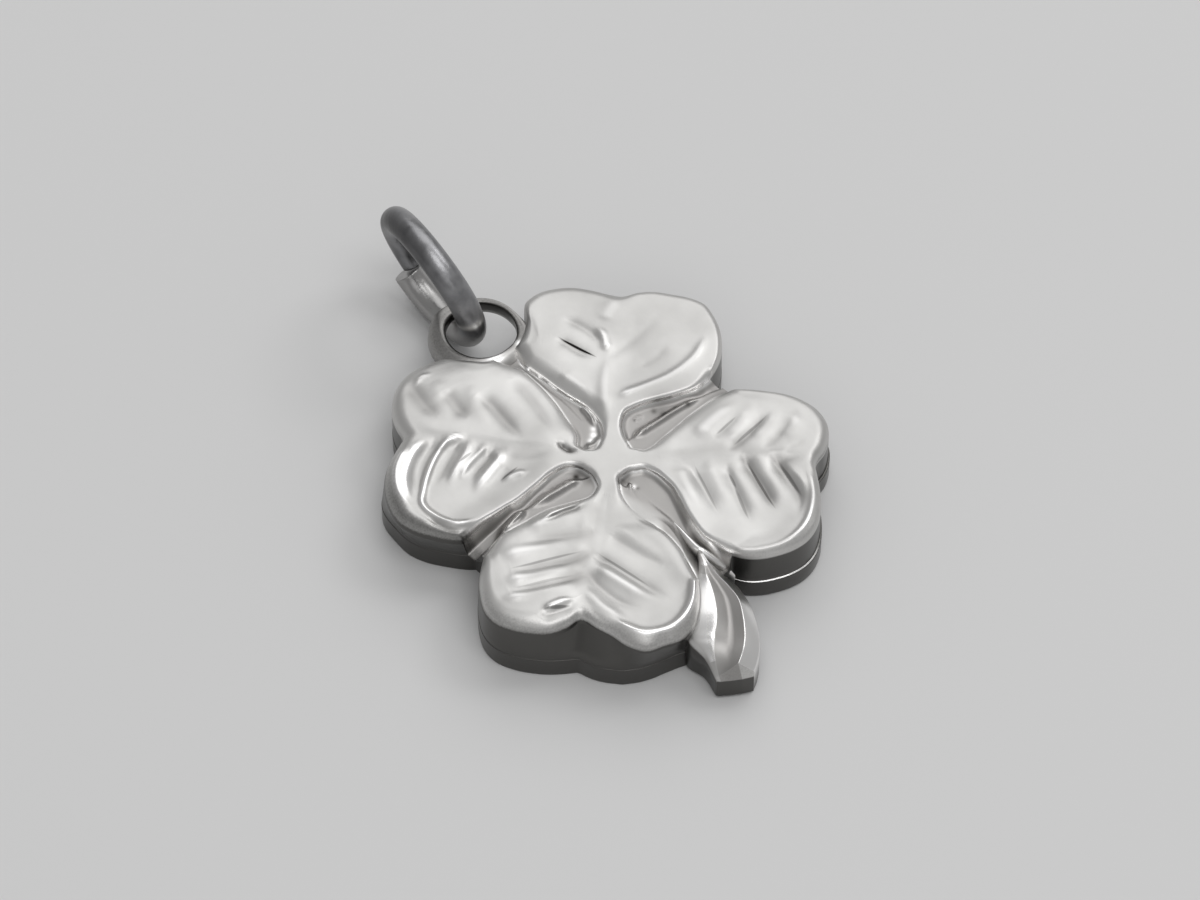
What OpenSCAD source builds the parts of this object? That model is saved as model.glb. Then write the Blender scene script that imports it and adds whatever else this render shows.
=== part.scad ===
// Four leaf clover pendant with its jump ring.
// The pendant lies on its flat back: z = 0 is the table, +Z looks out of the front,
// +Y points to the eyelet (up when worn). The middle of the clover is the origin.
// Units are millimetres.

/* [Clover] */
// reach of the leaves from the middle of the clover to the notch at a leaf tip
clover_reach = 7.5; // [7.3:0.05:7.7]
// height of the leaf rims above the flat back
clover_thickness = 2.7; // [2.6:0.05:2.8]
// width of the rounded outer edge of a leaf
rim_roll_width = 0.5; // [0.4:0.05:0.6]
// how far the rounded outer edge falls before the upright wall starts
rim_roll_drop = 0.5; // [0.4:0.05:0.6]
// width of the crisp edge where a leaf meets a recess
lip_width = 0.2; // [0.15:0.05:0.25]
// how far that crisp edge is rounded down
lip_drop = 0.2; // [0.15:0.05:0.25]
// depth of the shallow dish inside each half of a leaf
dish_depth = 0.2; // [0.1:0.05:0.3]
// height of the cast veins and ribs, 1 is as photographed
vein_relief = 1; // [0.6:0.1:1.2]
// depth of the teardrop recesses between the leaves, below the rims
recess_depth = 0.85; // [0.7:0.05:0.95]

/* [Back plate] */
// thickness of the back plate the front casting is soldered to
back_plate_thickness = 0.9; // [0.8:0.05:1]
// how far the back plate stands out beyond the front casting
back_plate_margin = 0.08; // [0.05:0.01:0.12]

/* [Stem] */
// height of the stem ridges at the cut end
stem_height = 1.85; // [1.7:0.05:1.95]
// gap under the stem, so that the clover rests on its own back
stem_lift = 0.12; // [0.08:0.02:0.2]

/* [Eyelet] */
// distance from the middle of the clover to the middle of the eyelet hole
eyelet_distance = 7.55; // [7.5:0.05:7.6]
// radius of the eyelet hole
eyelet_hole_radius = 1.3; // [1.25:0.05:1.35]
// width of the eyelet rim
eyelet_rim_width = 0.65; // [0.6:0.05:0.7]
// underside of the eyelet above the table
eyelet_bottom = 1.45; // [1.45:0.05:1.55]
// top of the eyelet above the table
eyelet_top = 2.42; // [2.36:0.02:2.48]
// distance of the eyelet to the right of the middle of the clover
eyelet_aside = 0.07; // [0:0.01:0.14]

/* [Jump ring] */
// thickness of the round jump ring wire
wire_diameter = 1.05; // [0.95:0.05:1.05]
// radius of the jump ring to the middle of its wire
ring_radius = 2.44; // [2.44:0.02:2.5]
// distance from the middle of the eyelet hole out to the wire that stands in it
ring_play = 0.16; // [0.12:0.02:0.2]
// distance of the ring to the left of the middle of the eyelet hole
ring_aside = 0.24; // [0.14:0.02:0.3]
// lean of the standing ring away from upright, in degrees
ring_lean = 11.9; // [10:0.1:13]
// turn of the ring about the upright, in degrees
ring_turn = -1.3; // [-4:0.1:2]
// sideways twist of each half of the open ring, in degrees
ring_twist = 2; // [1:0.1:2.4]
// place of the saw cut, in degrees below the far end of the ring
cut_angle = 42; // [38:1:46]
// width of the saw cut
cut_width = 0.12; // [0.08:0.02:0.16]

/* [Parts] */
// which piece is built

/* [Hidden] */
// tables give lengths in 75ths of the reach, so they grow with the clover
unit = clover_reach / 75;
degree = PI / 180;
silver = [0.86, 0.86, 0.85];
dark_silver = [0.36, 0.36, 0.37];

// leaves in counter-clockwise order: right, top, left, bottom; axis of each midrib in degrees
leaf_axis = [-37, 46, 134, 223.5];

// outer edge of each leaf, counter-clockwise: [across, up] in units
leaf_rim = [
    [[11.7, -57.5], [14.5, -61.5], [19, -65], [24.5, -67.5], [30, -69], [36, -69.2], [41.5, -67.5],
     [46.5, -64], [50.5, -59.5], [54.2, -54], [57, -49], [58.8, -46], [61.5, -44.2], [66, -42.5],
     [71, -38.5], [74, -34], [75, -28], [74, -23], [71.2, -17], [66.2, -11], [60, -5], [55, -1.5]],
    [[53, 7.2], [57, 9], [61.5, 12], [66, 17], [69.2, 22.5], [71, 28.5], [71.5, 34], [69, 39.5],
     [65, 44.5], [60, 50], [55, 53.2], [50.5, 55.2], [47, 59], [43, 64.5], [38, 70], [33, 73.2],
     [28, 75.2], [23.5, 75.5], [19, 74], [17, 70], [13.5, 66], [9, 62.8], [5, 61]],
    [[-3.5, 61], [-9, 64], [-14.5, 69], [-19, 73], [-22, 74], [-27.5, 75.2], [-34, 75], [-40, 72.5],
     [-45, 68], [-48.2, 63], [-49.8, 58], [-50.5, 53.8], [-53, 52.5], [-58, 50], [-64, 46],
     [-69, 40], [-72, 33], [-73, 26], [-71, 19.5], [-67.5, 14], [-63, 8.5], [-59.5, 5.5]],
    [[-57.5, -4], [-61.5, -7.2], [-66.2, -11.5], [-70.8, -18], [-73, -24], [-72.5, -30], [-70, -35.5],
     [-66, -41], [-61, -46], [-55.5, -49], [-51, -49.8], [-48.8, -51], [-46, -55], [-43.5, -60],
     [-41, -65.5], [-37, -71], [-31, -75], [-25, -77], [-19, -75], [-13, -70], [-7.5, -64], [-4, -58.5]]
];

// clockwise side of each leaf, from the hub outward: [across, up] in units
leaf_side_right = [
    [[3, -8.8], [7.5, -9.8], [10.8, -13.5], [12, -19], [11.2, -26], [9.2, -33], [8, -40],
     [8.3, -47], [9.8, -53], [11.7, -57.5]],
    [[9.5, 3.2], [12.2, 6.8], [16.2, 10.8], [22, 12.8], [27, 12], [33, 9.8], [40, 7.4],
     [46, 6.4], [53, 7.2]],
    [[-3.5, 9.8], [-6.5, 12.5], [-8.3, 17], [-8.5, 21], [-7.5, 27], [-6, 33], [-3.8, 41],
     [-1.8, 48], [-0.8, 53], [-3.5, 61]],
    [[-8.6, -2], [-11, -4.2], [-16, -5], [-22, -4.2], [-30, -2.2], [-37, -0.5], [-44, -0.2],
     [-50, -1], [-57.5, -4]]
];

// counter-clockwise side of each leaf, from the hub outward: [across, up] in units
leaf_side_left = [
    [[9.5, -1.5], [11.5, -3.8], [15, -4.5], [20, -4], [27, -2.7], [35, -1], [45, 0.2], [50, 0],
     [55, -1.5]],
    [[4, 9.8], [7.2, 12.5], [9.3, 17], [9.5, 22], [8.5, 28], [6.2, 35], [3.3, 43], [1.2, 49],
     [1, 53], [5, 61]],
    [[-8.6, 2.5], [-11, 5.8], [-16, 8], [-22, 7.6], [-30, 6], [-36, 5.4], [-43, 5.8], [-50, 6.2],
     [-59.5, 5.5]],
    [[-1.2, -9.2], [-3, -13.5], [-4.2, -19], [-3.8, -26], [-1.8, -32], [-0.5, -38], [-0.8, -45],
     [-2.5, -51], [-4, -58.5]]
];

// veins, ribs and creases of each leaf in the leaf's own frame:
// [across 1, out 1, across 2, out 2, width] in units, then the height in mm, negative for a crease
leaf_lines = [
    [[0, 22, -3, 35, 4.2, -0.11], [-3, 35, -4.5, 50, 4.2, -0.14], [-4.5, 50, -1, 72, 4.1, -0.11],
     [0, 50.5, 19.5, 59.5, 2.4, -0.16], [3, 42, 25, 50, 2.4, -0.14], [3, 33, 22, 39.5, 2.4, -0.1],
     [0, 62, 23, 69, 2.7, -0.16], [2, 56, 22, 64, 3.2, 0.1], [2, 46, 24, 55, 3.2, 0.09],
     [3, 38, 24, 44.5, 3.2, 0.08], [-6, 47, -19, 57, 2.7, -0.14], [-11, 39.5, -19, 48, 2.7, -0.1],
     [-8, 59, -20, 68, 3.2, -0.09], [-8, 53, -22, 63, 3.8, 0.08], [-6, 42, -22, 54, 3.8, 0.07]],
    [[-4, 42, -6, 53, 2.7, 0.14], [-6, 53, -8.5, 60, 2.7, 0.11], [-25, 53, -9, 45.5, 2.4, -0.3],
     [-22, 61, -7, 52, 2.4, -0.14], [-25, 57, -9, 49, 3.2, 0.09], [0, 51, 9, 62, 2.7, -0.09],
     [9, 48, 17, 56, 2.7, -0.09], [2, 46, 14, 60, 3.5, 0.07], [0, 32, 10, 35, 3.2, 0.11],
     [10, 35, 20, 43, 3.2, 0.11], [20, 43, 26, 53, 3.2, 0.11], [26, 53, 29, 64, 3.2, 0.09],
     [10, 41, 20, 52, 3.2, -0.07]],
    [[1, 26, 3.5, 52, 4.1, -0.14], [3.5, 52, 2, 70, 4.1, -0.14], [2, 58, -12, 62, 2.4, 0.16],
     [-12, 62, -22, 63, 2.4, 0.16], [-22, 63, -30, 59, 2.4, 0.14], [-30, 59, -34, 50, 2.4, 0.14],
     [2, 66, -15, 70, 3.2, 0.14], [-15, 70, -26, 67, 3.2, 0.14], [1, 50, -20, 57, 2.7, 0.14],
     [0, 42, -15, 51, 2.7, 0.14], [0, 37, -20, 46, 2.7, 0.14], [-2, 54, -20, 60.5, 2.4, -0.14],
     [-1, 46, -18, 54, 2.4, -0.14], [6, 50, 26, 62, 3.5, 0.06], [7, 42, 28, 52, 3.5, 0.06],
     [6, 46, 27, 57, 3, -0.06]],
    [[0, 22, -1, 45, 4.2, -0.11], [-1, 45, -2, 68, 4.2, -0.16], [3, 60, 12.5, 66, 3, 0.18],
     [3, 51, 15, 58, 3.2, 0.14], [15, 58, 28, 64, 3.2, 0.11], [3, 40, 15, 47.5, 3.2, 0.14],
     [15, 47.5, 27, 52.5, 3.2, 0.11], [2, 30, 25, 41, 3.5, 0.11], [3, 24, 18, 30, 2.7, 0.09],
     [4, 45, 28, 58, 2.7, -0.11], [4, 35, 26, 47, 2.7, -0.11], [7, 22, 18, 32, 2.4, -0.18],
     [-3, 50, -22, 63, 3, 0.15], [-4, 43, -28, 52.5, 2.7, 0.15], [-3, 46, -26, 57.5, 2.4, -0.11],
     [-4, 34, -26, 43, 3.2, 0.07], [-4, 39, -26, 47, 2.7, -0.09]]
];

// crest lines in the recesses: [across 1, up 1, across 2, up 2, width] in units, then height in mm
recess_lines = [
    [[12, 1.5, 50, 4, 2.2, 0.4]],
    [[-1, 14, 1, 34, 2.2, 0.3], [1, 34, 0.5, 50, 2.2, 0.25]],
    [[-60, -1.5, -37, 2, 2.2, 0.35], [-37, 2, -12, -1, 3, 0.12]],
    [[1, -12, 3, -30, 3, 0.15], [4, -37, 8, -50, 2, 0.4], [8, -50, 13, -60, 2, 0.3]]
];

// depth of each recess along its length: [share of its length, share of the recess depth]
recess_depths = [
    [[0.15, 1], [0.4, 1], [0.7, 0.85], [0.9, 0.75], [1, 1]],
    [[0.15, 1], [0.4, 1], [0.65, 0.8], [0.8, 0.35], [0.86, 0.12], [1, 0.05]],
    [[0.15, 1], [0.4, 1], [0.7, 1], [0.88, 1.25], [1, 2]],
    [[0.15, 1], [0.4, 1.05], [0.7, 1.3], [0.88, 1.75], [1, 2.1]]
];

// stem cross-sections from the recess to the cut end, with the five points
// left edge, left ridge, hollow, right ridge, right edge: [across, up] in units, then share of height
stem_sections = [
    [[1, -48.5, 0.8], [2.4, -48.4, 0.92], [3.3, -48.4, 0.94], [4.2, -48.4, 0.92], [5.6, -48.6, 0.8]],
    [[-3.6, -54, 1.02], [-0.6, -56, 1.2], [1.4, -57.4, 1.15], [2.8, -58, 1.18], [6, -56.6, 0.98]],
    [[-10, -61.5, 1.02], [-3.8, -65, 1.18], [-1, -66, 1.08], [2, -66.2, 1.15], [7.2, -65, 0.94]],
    [[-15, -68.5, 0.98], [-8.6, -73, 1.14], [-4, -74.5, 1.04], [0.6, -75.5, 1.1], [7, -72.6, 0.86]],
    [[-20, -75.5, 0.88], [-13.4, -79.9, 1.08], [-8.5, -82, 0.98], [-3.4, -83.9, 1.05], [4.4, -80.5, 0.78]],
    [[-19.6, -82.5, 0.7], [-16.9, -84, 0.94], [-12.5, -86, 0.95], [-8.7, -88.5, 1.02], [-1.8, -88.6, 0.7]],
    [[-18.7, -87.7, 0.46], [-16.5, -89.5, 0.7], [-14.5, -90.8, 0.85], [-12.5, -91.8, 1], [-7.5, -94.4, 0.62]]
];

// grid: shares of the way across a leaf and across a recess
half_leaf_columns = 15;
recess_columns = 7;
// fixed radii near the hub, in mm at the drawn reach
hub_radii = [0.4, 0.74, 0.92, 1.05, 1.2, 1.42, 1.75, 2.1];
middle_rows = 16;
// distances from the edge of the last rows, as shares of the rolled edge
edge_shares = [1.1, 0.72, 0.42, 0.18, 0.04, 0];
first_free_radius = 2.1 * clover_reach / 7.5;
recess_start = 0.92 * clover_reach / 7.5;

function clamp(value, low, high) = min(max(value, low), high);
function smooth(value) = let (s = clamp(value, 0, 1)) s * s * (3 - 2 * s);
function mix(a, b, share) = a + (b - a) * share;
function wrapped(angle) = angle - 360 * floor((angle + 180) / 360);

// smooth reading of a table of [key, value] rows
function row_before(table, key, i = 0) =
    i >= len(table) - 2 || key < table[i + 1][0] ? i : row_before(table, key, i + 1);
function read_table(table, key) =
    let (i = row_before(table, key),
         a = table[max(i - 1, 0)], b = table[i], c = table[i + 1], d = table[min(i + 2, len(table) - 1)],
         step = c[0] - b[0],
         s = clamp((key - b[0]) / step, 0, 1),
         slope_b = (c[1] - a[1]) / (c[0] - a[0]),
         slope_c = (d[1] - b[1]) / (d[0] - b[0]),
         s2 = s * s, s3 = s2 * s)
    b[1] * (2 * s3 - 3 * s2 + 1) + slope_b * step * (s3 - 2 * s2 + s)
    + c[1] * (3 * s2 - 2 * s3) + slope_c * step * (s3 - s2);

// edges as polar tables about the middle of the clover
rim_table = [for (k = [0:3]) [for (p = leaf_rim[k])
    [wrapped(atan2(p[1], p[0]) - leaf_axis[k]), norm(p) * unit]]];
right_table = [for (k = [0:3]) [for (p = leaf_side_right[k])
    [norm(p) * unit, wrapped(atan2(p[1], p[0]) - leaf_axis[k])]]];
left_table = [for (k = [0:3]) [for (p = leaf_side_left[k])
    [norm(p) * unit, wrapped(atan2(p[1], p[0]) - leaf_axis[k])]]];

function right_angle(k, r) = leaf_axis[k] + read_table(right_table[k], r);
function left_angle(k, r) = leaf_axis[k] + read_table(left_table[k], r);
function last_of(table) = table[len(table) - 1];
function right_end(k) = last_of(right_table[k])[0];
function left_end(k) = last_of(left_table[k])[0];
// the leaf after k, going counter-clockwise, and the angle that is added when passing the start
function next_leaf(k) = (k + 1) % 4;
function turn_added(k) = k == 3 ? 360 : 0;

// columns: [kind, leaf, share]; kind 0 is a leaf, kind 1 is the recess after the leaf
columns = [for (k = [0:3]) each concat(
    [for (i = [-half_leaf_columns:half_leaf_columns])
        let (s = i / half_leaf_columns) [0, k, 0.65 * s + 0.35 * sin(90 * s)]],
    [for (i = [1:recess_columns]) [1, k, smooth(i / (recess_columns + 1)) * 0.35
        + 0.65 * i / (recess_columns + 1)]])];

function column_angle(c, r) = c[0] == 0
    ? (c[2] < 0 ? mix(leaf_axis[c[1]], right_angle(c[1], r), -c[2])
                : mix(leaf_axis[c[1]], left_angle(c[1], r), c[2]))
    : mix(left_angle(c[1], r), right_angle(next_leaf(c[1]), r) + turn_added(c[1]), c[2]);
function column_reach(c) = c[0] == 0
    ? let (side = c[2] < 0 ? right_angle(c[1], 2 * clover_reach) : left_angle(c[1], 2 * clover_reach))
      read_table(rim_table[c[1]], (side - leaf_axis[c[1]]) * abs(c[2]))
    : mix(left_end(c[1]), right_end(next_leaf(c[1])), c[2]);
reach_of = [for (c = columns) column_reach(c)];

// height of one vein, rib or crease at a point
function line_share(p, a, b) = clamp((p - a) * (b - a) / ((b - a) * (b - a)), 0, 1);
function line_height(p, row) =
    let (a = [row[0], row[1]], b = [row[2], row[3]],
         gap = norm(p - a - (b - a) * line_share(p, a, b)) / row[4])
    gap > 2.6 ? 0 : row[5] * exp(-gap * gap);
function sum_lines(p, rows, i = 0) =
    i >= len(rows) ? 0 : line_height(p, rows[i]) + sum_lines(p, rows, i + 1);

// rounded edge: 1 at the edge, 0 where the round has ended
function rounded(share) = let (s = clamp(share, 0, 1)) 1 - sqrt(max(0, 1 - (1 - s) * (1 - s)));

// height of the leaf surface
function leaf_height(k, r, angle, reach) =
    let (faded = 4 * (1 - smooth((r - 0.8) / 0.35)),
         from_right = r * degree * (angle - right_angle(k, r)) + faded,
         from_left = r * degree * (left_angle(k, r) - angle) + faded,
         side_gap = min(from_right, from_left),
         rim_gap = reach - r,
         outer = smooth((r - right_end(k) * 0.8) / (right_end(k) * 0.2)),
         side_drop = mix(lip_drop, rim_roll_drop, outer) * rounded(side_gap / mix(lip_width, rim_roll_width, outer)),
         rim_drop = rim_roll_drop * rounded(rim_gap / rim_roll_width),
         inward = min(side_gap, rim_gap - 0.3),
         dish = dish_depth * smooth((inward - lip_width) / 0.9),
         off = angle - leaf_axis[k],
         p = [-r * sin(off), r * cos(off)] / unit,
         hub = smooth((r - 1.2) / 1.2),
         fade = smooth((min(side_gap, rim_gap) - 0.12) / 0.4))
    clover_thickness - max(side_drop, rim_drop) - mix(0.06, dish, hub)
    + vein_relief * fade * sum_lines(p, leaf_lines[k]);

// height of the floor of a recess, before its sides
function recess_floor(k, r, reach) =
    max(clover_thickness - recess_depth * read_table(recess_depths[k], r / reach), back_plate_thickness + 0.1);
function recess_height(k, share, r, angle, reach) =
    let (n = next_leaf(k),
         edge = clover_thickness - lip_drop,
         from_left = r * degree * (angle - left_angle(k, r)),
         from_right = r * degree * (right_angle(n, r) + turn_added(k) - angle),
         from_hub = r - recess_start,
         wall = max(1 - smooth(from_left / 0.28), 1 - smooth(from_right / 0.28),
                    1 - smooth(from_hub / 0.22)),
         hub_height = clover_thickness - 0.06,
         p = [r * cos(angle), r * sin(angle)] / unit,
         floor_height = recess_floor(k, r, reach)
             + min(sum_lines(p, recess_lines[k]), 0.45) * smooth((reach - r) / 0.5))
    r < recess_start
        ? mix(hub_height, edge, smooth((r - 0.85 * recess_start) / (0.15 * recess_start)))
        : mix(floor_height, max(edge - (rim_roll_drop - lip_drop) * smooth((r - 0.8 * reach) / (0.2 * reach)),
                                floor_height), wall);

// front surface point of column j at radius r
function front_point(j, r) =
    let (c = columns[j], angle = column_angle(c, r), reach = reach_of[j],
         z = c[0] == 0 ? leaf_height(c[1], r, angle, reach)
                       : recess_height(c[1], c[2], r, angle, reach))
    [r * cos(angle), r * sin(angle), z];
function edge_point(j, out, z) =
    let (r = reach_of[j], angle = column_angle(columns[j], r))
    [(r + out) * cos(angle), (r + out) * sin(angle), z];

// all rings of points, from the hub outward, down the wall and under the back
ring_count = len(columns);
hub_scale = clover_reach / 7.5;
edge_start = edge_shares[0] * rim_roll_width;
front_rings = concat(
    [for (r = hub_radii) [for (j = [0:ring_count - 1]) front_point(j, r * hub_scale)]],
    [for (i = [1:middle_rows]) [for (j = [0:ring_count - 1])
        front_point(j, mix(first_free_radius, reach_of[j] - edge_start, i / middle_rows))]],
    [for (i = [1:len(edge_shares) - 1]) [for (j = [0:ring_count - 1])
        front_point(j, reach_of[j] - edge_shares[i] * rim_roll_width)]]);
wall_rings = [
    [for (j = [0:ring_count - 1]) edge_point(j, 0, back_plate_thickness)],
    [for (j = [0:ring_count - 1]) edge_point(j, back_plate_margin, back_plate_thickness - 0.03)],
    [for (j = [0:ring_count - 1]) edge_point(j, back_plate_margin, 0.06)],
    [for (j = [0:ring_count - 1]) edge_point(j, back_plate_margin - 0.06, 0)]];
body_rings = concat(front_rings, wall_rings);
body_points = concat([[0, 0, clover_thickness - 0.06]], [for (ring = body_rings) each ring], [[0, 0, 0]]);
last_point = len(body_points) - 1;
function at(i, j) = 1 + i * ring_count + j % ring_count;
body_faces = concat(
    [for (j = [0:ring_count - 1]) [0, at(0, j + 1), at(0, j)]],
    [for (i = [0:len(body_rings) - 2]) for (j = [0:ring_count - 1])
        each columns[j][0] == 0 && columns[j][2] < 0
            ? [[at(i, j), at(i, j + 1), at(i + 1, j)], [at(i, j + 1), at(i + 1, j + 1), at(i + 1, j)]]
            : [[at(i, j), at(i, j + 1), at(i + 1, j + 1)], [at(i, j), at(i + 1, j + 1), at(i + 1, j)]]],
    [for (j = [0:ring_count - 1])
        [last_point, at(len(body_rings) - 1, j), at(len(body_rings) - 1, j + 1)]]);

// stem: smooth steps between the drawn sections
stem_steps = 3;
stem_count = (len(stem_sections) - 1) * stem_steps;
function stem_key(i, m) = let (p = stem_sections[clamp(i, 0, len(stem_sections) - 1)][m])
    [p[0] * unit, p[1] * unit, p[2] * stem_height];
function stem_point(t, m) =
    let (i = min(floor(t / stem_steps), len(stem_sections) - 2), s = t / stem_steps - i,
         a = stem_key(i - 1, m), b = stem_key(i, m), c = stem_key(i + 1, m), d = stem_key(i + 2, m))
    b + 0.5 * s * (c - a + s * (2 * a - 5 * b + 4 * c - d + s * (3 * (b - c) + d - a)));
function stem_ring(t) =
    let (top = [for (m = [0:4]) stem_point(t, m)])
    concat([[top[0][0], top[0][1], stem_lift]], top, [[top[4][0], top[4][1], stem_lift]]);
stem_points = [for (t = [0:stem_count]) each stem_ring(t)];
stem_faces = concat(
    [for (t = [0:stem_count - 1]) for (m = [0:6]) let (n = (m + 1) % 7) each [
        [7 * t + m, 7 * (t + 1) + n, 7 * (t + 1) + m],
        [7 * t + m, 7 * t + n, 7 * (t + 1) + n]]],
    [for (m = [1:5]) [0, m + 1, m]],
    [for (m = [1:5]) [7 * stem_count, 7 * stem_count + m, 7 * stem_count + m + 1]]);

// jump ring, standing through the eyelet and resting on the table
ring_rest = ring_radius * cos(ring_lean) + wire_diameter / 2
    + ring_radius * sin(ring_twist) * sin(ring_lean) * (1 + sin(cut_angle));
ring_centre = [eyelet_aside - ring_aside, eyelet_distance + ring_radius + ring_play, ring_rest];

module leaves() {
    polyhedron(points = body_points, faces = body_faces, convexity = 10);
}

module stem() {
    polyhedron(points = stem_points, faces = stem_faces, convexity = 6);
}

module eyelet() {
    outer = eyelet_hole_radius + eyelet_rim_width;
    tall = eyelet_top - eyelet_bottom;
    translate([eyelet_aside, eyelet_distance, 0])
        rotate_extrude($fn = 64)
            polygon([
                [eyelet_hole_radius, eyelet_bottom + 0.35 * tall],
                [eyelet_hole_radius + 0.12, eyelet_bottom + 0.12 * tall],
                [eyelet_hole_radius + 0.32, eyelet_bottom],
                [outer - 0.16, eyelet_bottom + 0.02],
                [outer, eyelet_bottom + 0.26 * tall],
                [outer - 0.03, eyelet_bottom + 0.5 * tall],
                [outer - 0.2, eyelet_bottom + 0.78 * tall],
                [outer - 0.42, eyelet_top - 0.07],
                [eyelet_hole_radius + 0.12, eyelet_top],
                [eyelet_hole_radius, eyelet_top - 0.08]]);
}

// neck that carries the eyelet: it runs inside the leaves, up to the eyelet rim
module neck() {
    inner_end = 0.6 * clover_reach;
    outer_end = eyelet_distance - eyelet_hole_radius - 0.15 * eyelet_rim_width;
    neck_width = 1.2 * eyelet_hole_radius;
    tall = eyelet_top - eyelet_bottom;
    translate([eyelet_aside - neck_width / 2, inner_end, eyelet_bottom + 0.22 * tall])
        cube([neck_width, outer_end - inner_end, 0.42 * tall]);
}

// half of the open ring: it turns about the far point opposite the cut
module ring_half(side) {
    translate([-ring_radius, 0, 0])
        rotate([0, side * ring_twist, 0])
            translate([ring_radius, 0, 0])
                difference() {
                    rotate([0, 0, side > 0 ? 180 : 0])
                        rotate_extrude(angle = 180, $fn = 64)
                            translate([ring_radius, 0])
                                circle(d = wire_diameter, $fn = 32);
                    translate([ring_radius, 0, 0])
                        cube([2 * wire_diameter, cut_width, 2 * wire_diameter], center = true);
                }
}

module clover() {
    color(silver)
        union() {
            leaves();
            stem();
            eyelet();
            neck();
        }
}

module jump_ring() {
    color(dark_silver)
        translate(ring_centre)
            rotate([0, 0, ring_turn])
                rotate([0, -ring_lean, 0])
                    rotate([90, 0, 90])
                        rotate([0, 0, -cut_angle])
                            union() {
                                ring_half(1);
                                ring_half(-1);
                            }
}

clover();
jump_ring();
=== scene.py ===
# %% [markdown]
# # A cast silver clover pendant
# This lesson dresses a small pendant: a clover with veined heart-shaped leaves, cast in silver and left
# satin, with a dark open jump ring in its eyelet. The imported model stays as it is, and a finer mesh is
# made over it, because the veins, lips and crests that catch the light are thinner than its faces.

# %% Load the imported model
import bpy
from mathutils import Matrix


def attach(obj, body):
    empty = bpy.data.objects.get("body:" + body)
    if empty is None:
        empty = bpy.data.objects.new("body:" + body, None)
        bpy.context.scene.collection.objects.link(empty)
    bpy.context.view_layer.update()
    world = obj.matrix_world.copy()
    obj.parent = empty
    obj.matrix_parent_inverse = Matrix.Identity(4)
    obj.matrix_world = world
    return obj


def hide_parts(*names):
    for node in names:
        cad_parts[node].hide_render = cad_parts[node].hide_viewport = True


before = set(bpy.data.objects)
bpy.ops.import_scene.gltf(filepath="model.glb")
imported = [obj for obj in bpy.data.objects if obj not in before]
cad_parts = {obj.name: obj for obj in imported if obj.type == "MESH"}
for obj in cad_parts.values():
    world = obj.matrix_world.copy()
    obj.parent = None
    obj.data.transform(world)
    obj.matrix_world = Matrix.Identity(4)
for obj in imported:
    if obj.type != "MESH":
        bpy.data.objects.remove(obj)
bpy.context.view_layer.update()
import bpy
import numpy as np
from mathutils import Vector
print("packed pieces:", sorted(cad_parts))

# %% [markdown]
# ## Measures
# The drawing is in tenths of a millimetre and heights are in millimetres, as a bench jeweller would note
# them. Blender works in metres, so each mesh is scaled once, when it is made.

# %% Measures of the casting, in mm
MM = 0.001
UNIT = 0.1
THICKNESS = 2.7
LIP_WIDTH = 0.2
LIP_DROP = 0.2
PLATE = 0.9
LEDGE = 0.08
STEM_LIFT = 0.12
EYELET = (0.07, 7.55)
HOLE = 1.3
RIM = 0.65
EYELET_LOW = 1.45
EYELET_TOP = 2.42
HUB = 1.1
HUB_SUNK = 0.06
HUB_TOP = THICKNESS - HUB_SUNK
# directions seen by the camera, for the lights and for what is worn or tarnished
RIGHT = np.array([0.7934, -0.6088, 0])
AWAY = np.array([0.6088, 0.7934, 0])
UP = np.array([0, 0, 1])

# %% [markdown]
# ## Drawing the leaves
# Each leaf is drawn by its outer edge and the two side edges that face the recesses, as a sculptor would
# trace them from the master model. They are tables of points across and up from the middle of the clover,
# read as smooth curves, so the mesh can be as fine as it likes between them.

# %% Leaf outlines, in tenths of a mm
# The leaves are named as the camera sees them: right, top, left, bottom. First the direction of each.
LEAF_AXIS = np.array([-37, 46, 134, 223.5])
LEAF_RIM = [
    [[11.7, -57.5], [14.5, -61.5], [19, -65], [24.5, -67.5], [30, -69], [36, -69.2], [41.5, -67.5],
     [46.5, -64], [50.5, -59.5], [54.2, -54], [57, -49], [58.8, -46], [61.5, -44.2], [66, -42.5],
     [71, -38.5], [74, -34], [75, -28], [74, -23], [71.2, -17], [66.2, -11], [60, -5], [55, -1.5]],
    [[53, 7.2], [57, 9], [61.5, 12], [66, 17], [69.2, 22.5], [71, 28.5], [71.5, 34], [69, 39.5],
     [65, 44.5], [60, 50], [55, 53.2], [50.5, 55.2], [47, 59], [43, 64.5], [38, 70], [33, 73.2],
     [28, 75.2], [23.5, 75.5], [19, 74], [17, 70], [13.5, 66], [9, 62.8], [5, 61]],
    [[-3.5, 61], [-9, 64], [-14.5, 69], [-19, 73], [-22, 74], [-27.5, 75.2], [-34, 75], [-40, 72.5],
     [-45, 68], [-48.2, 63], [-49.8, 58], [-50.5, 53.8], [-53, 52.5], [-58, 50], [-64, 46],
     [-69, 40], [-72, 33], [-73, 26], [-71, 19.5], [-67.5, 14], [-63, 8.5], [-59.5, 5.5]],
    [[-57.5, -4], [-61.5, -7.2], [-66.2, -11.5], [-70.8, -18], [-73, -24], [-72.5, -30], [-70, -35.5],
     [-66, -41], [-61, -46], [-55.5, -49], [-51, -49.8], [-48.8, -51], [-46, -55], [-43.5, -60],
     [-41, -65.5], [-37, -71], [-31, -75], [-25, -77], [-19, -75], [-13, -70], [-7.5, -64], [-4, -58.5]],
]
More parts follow.
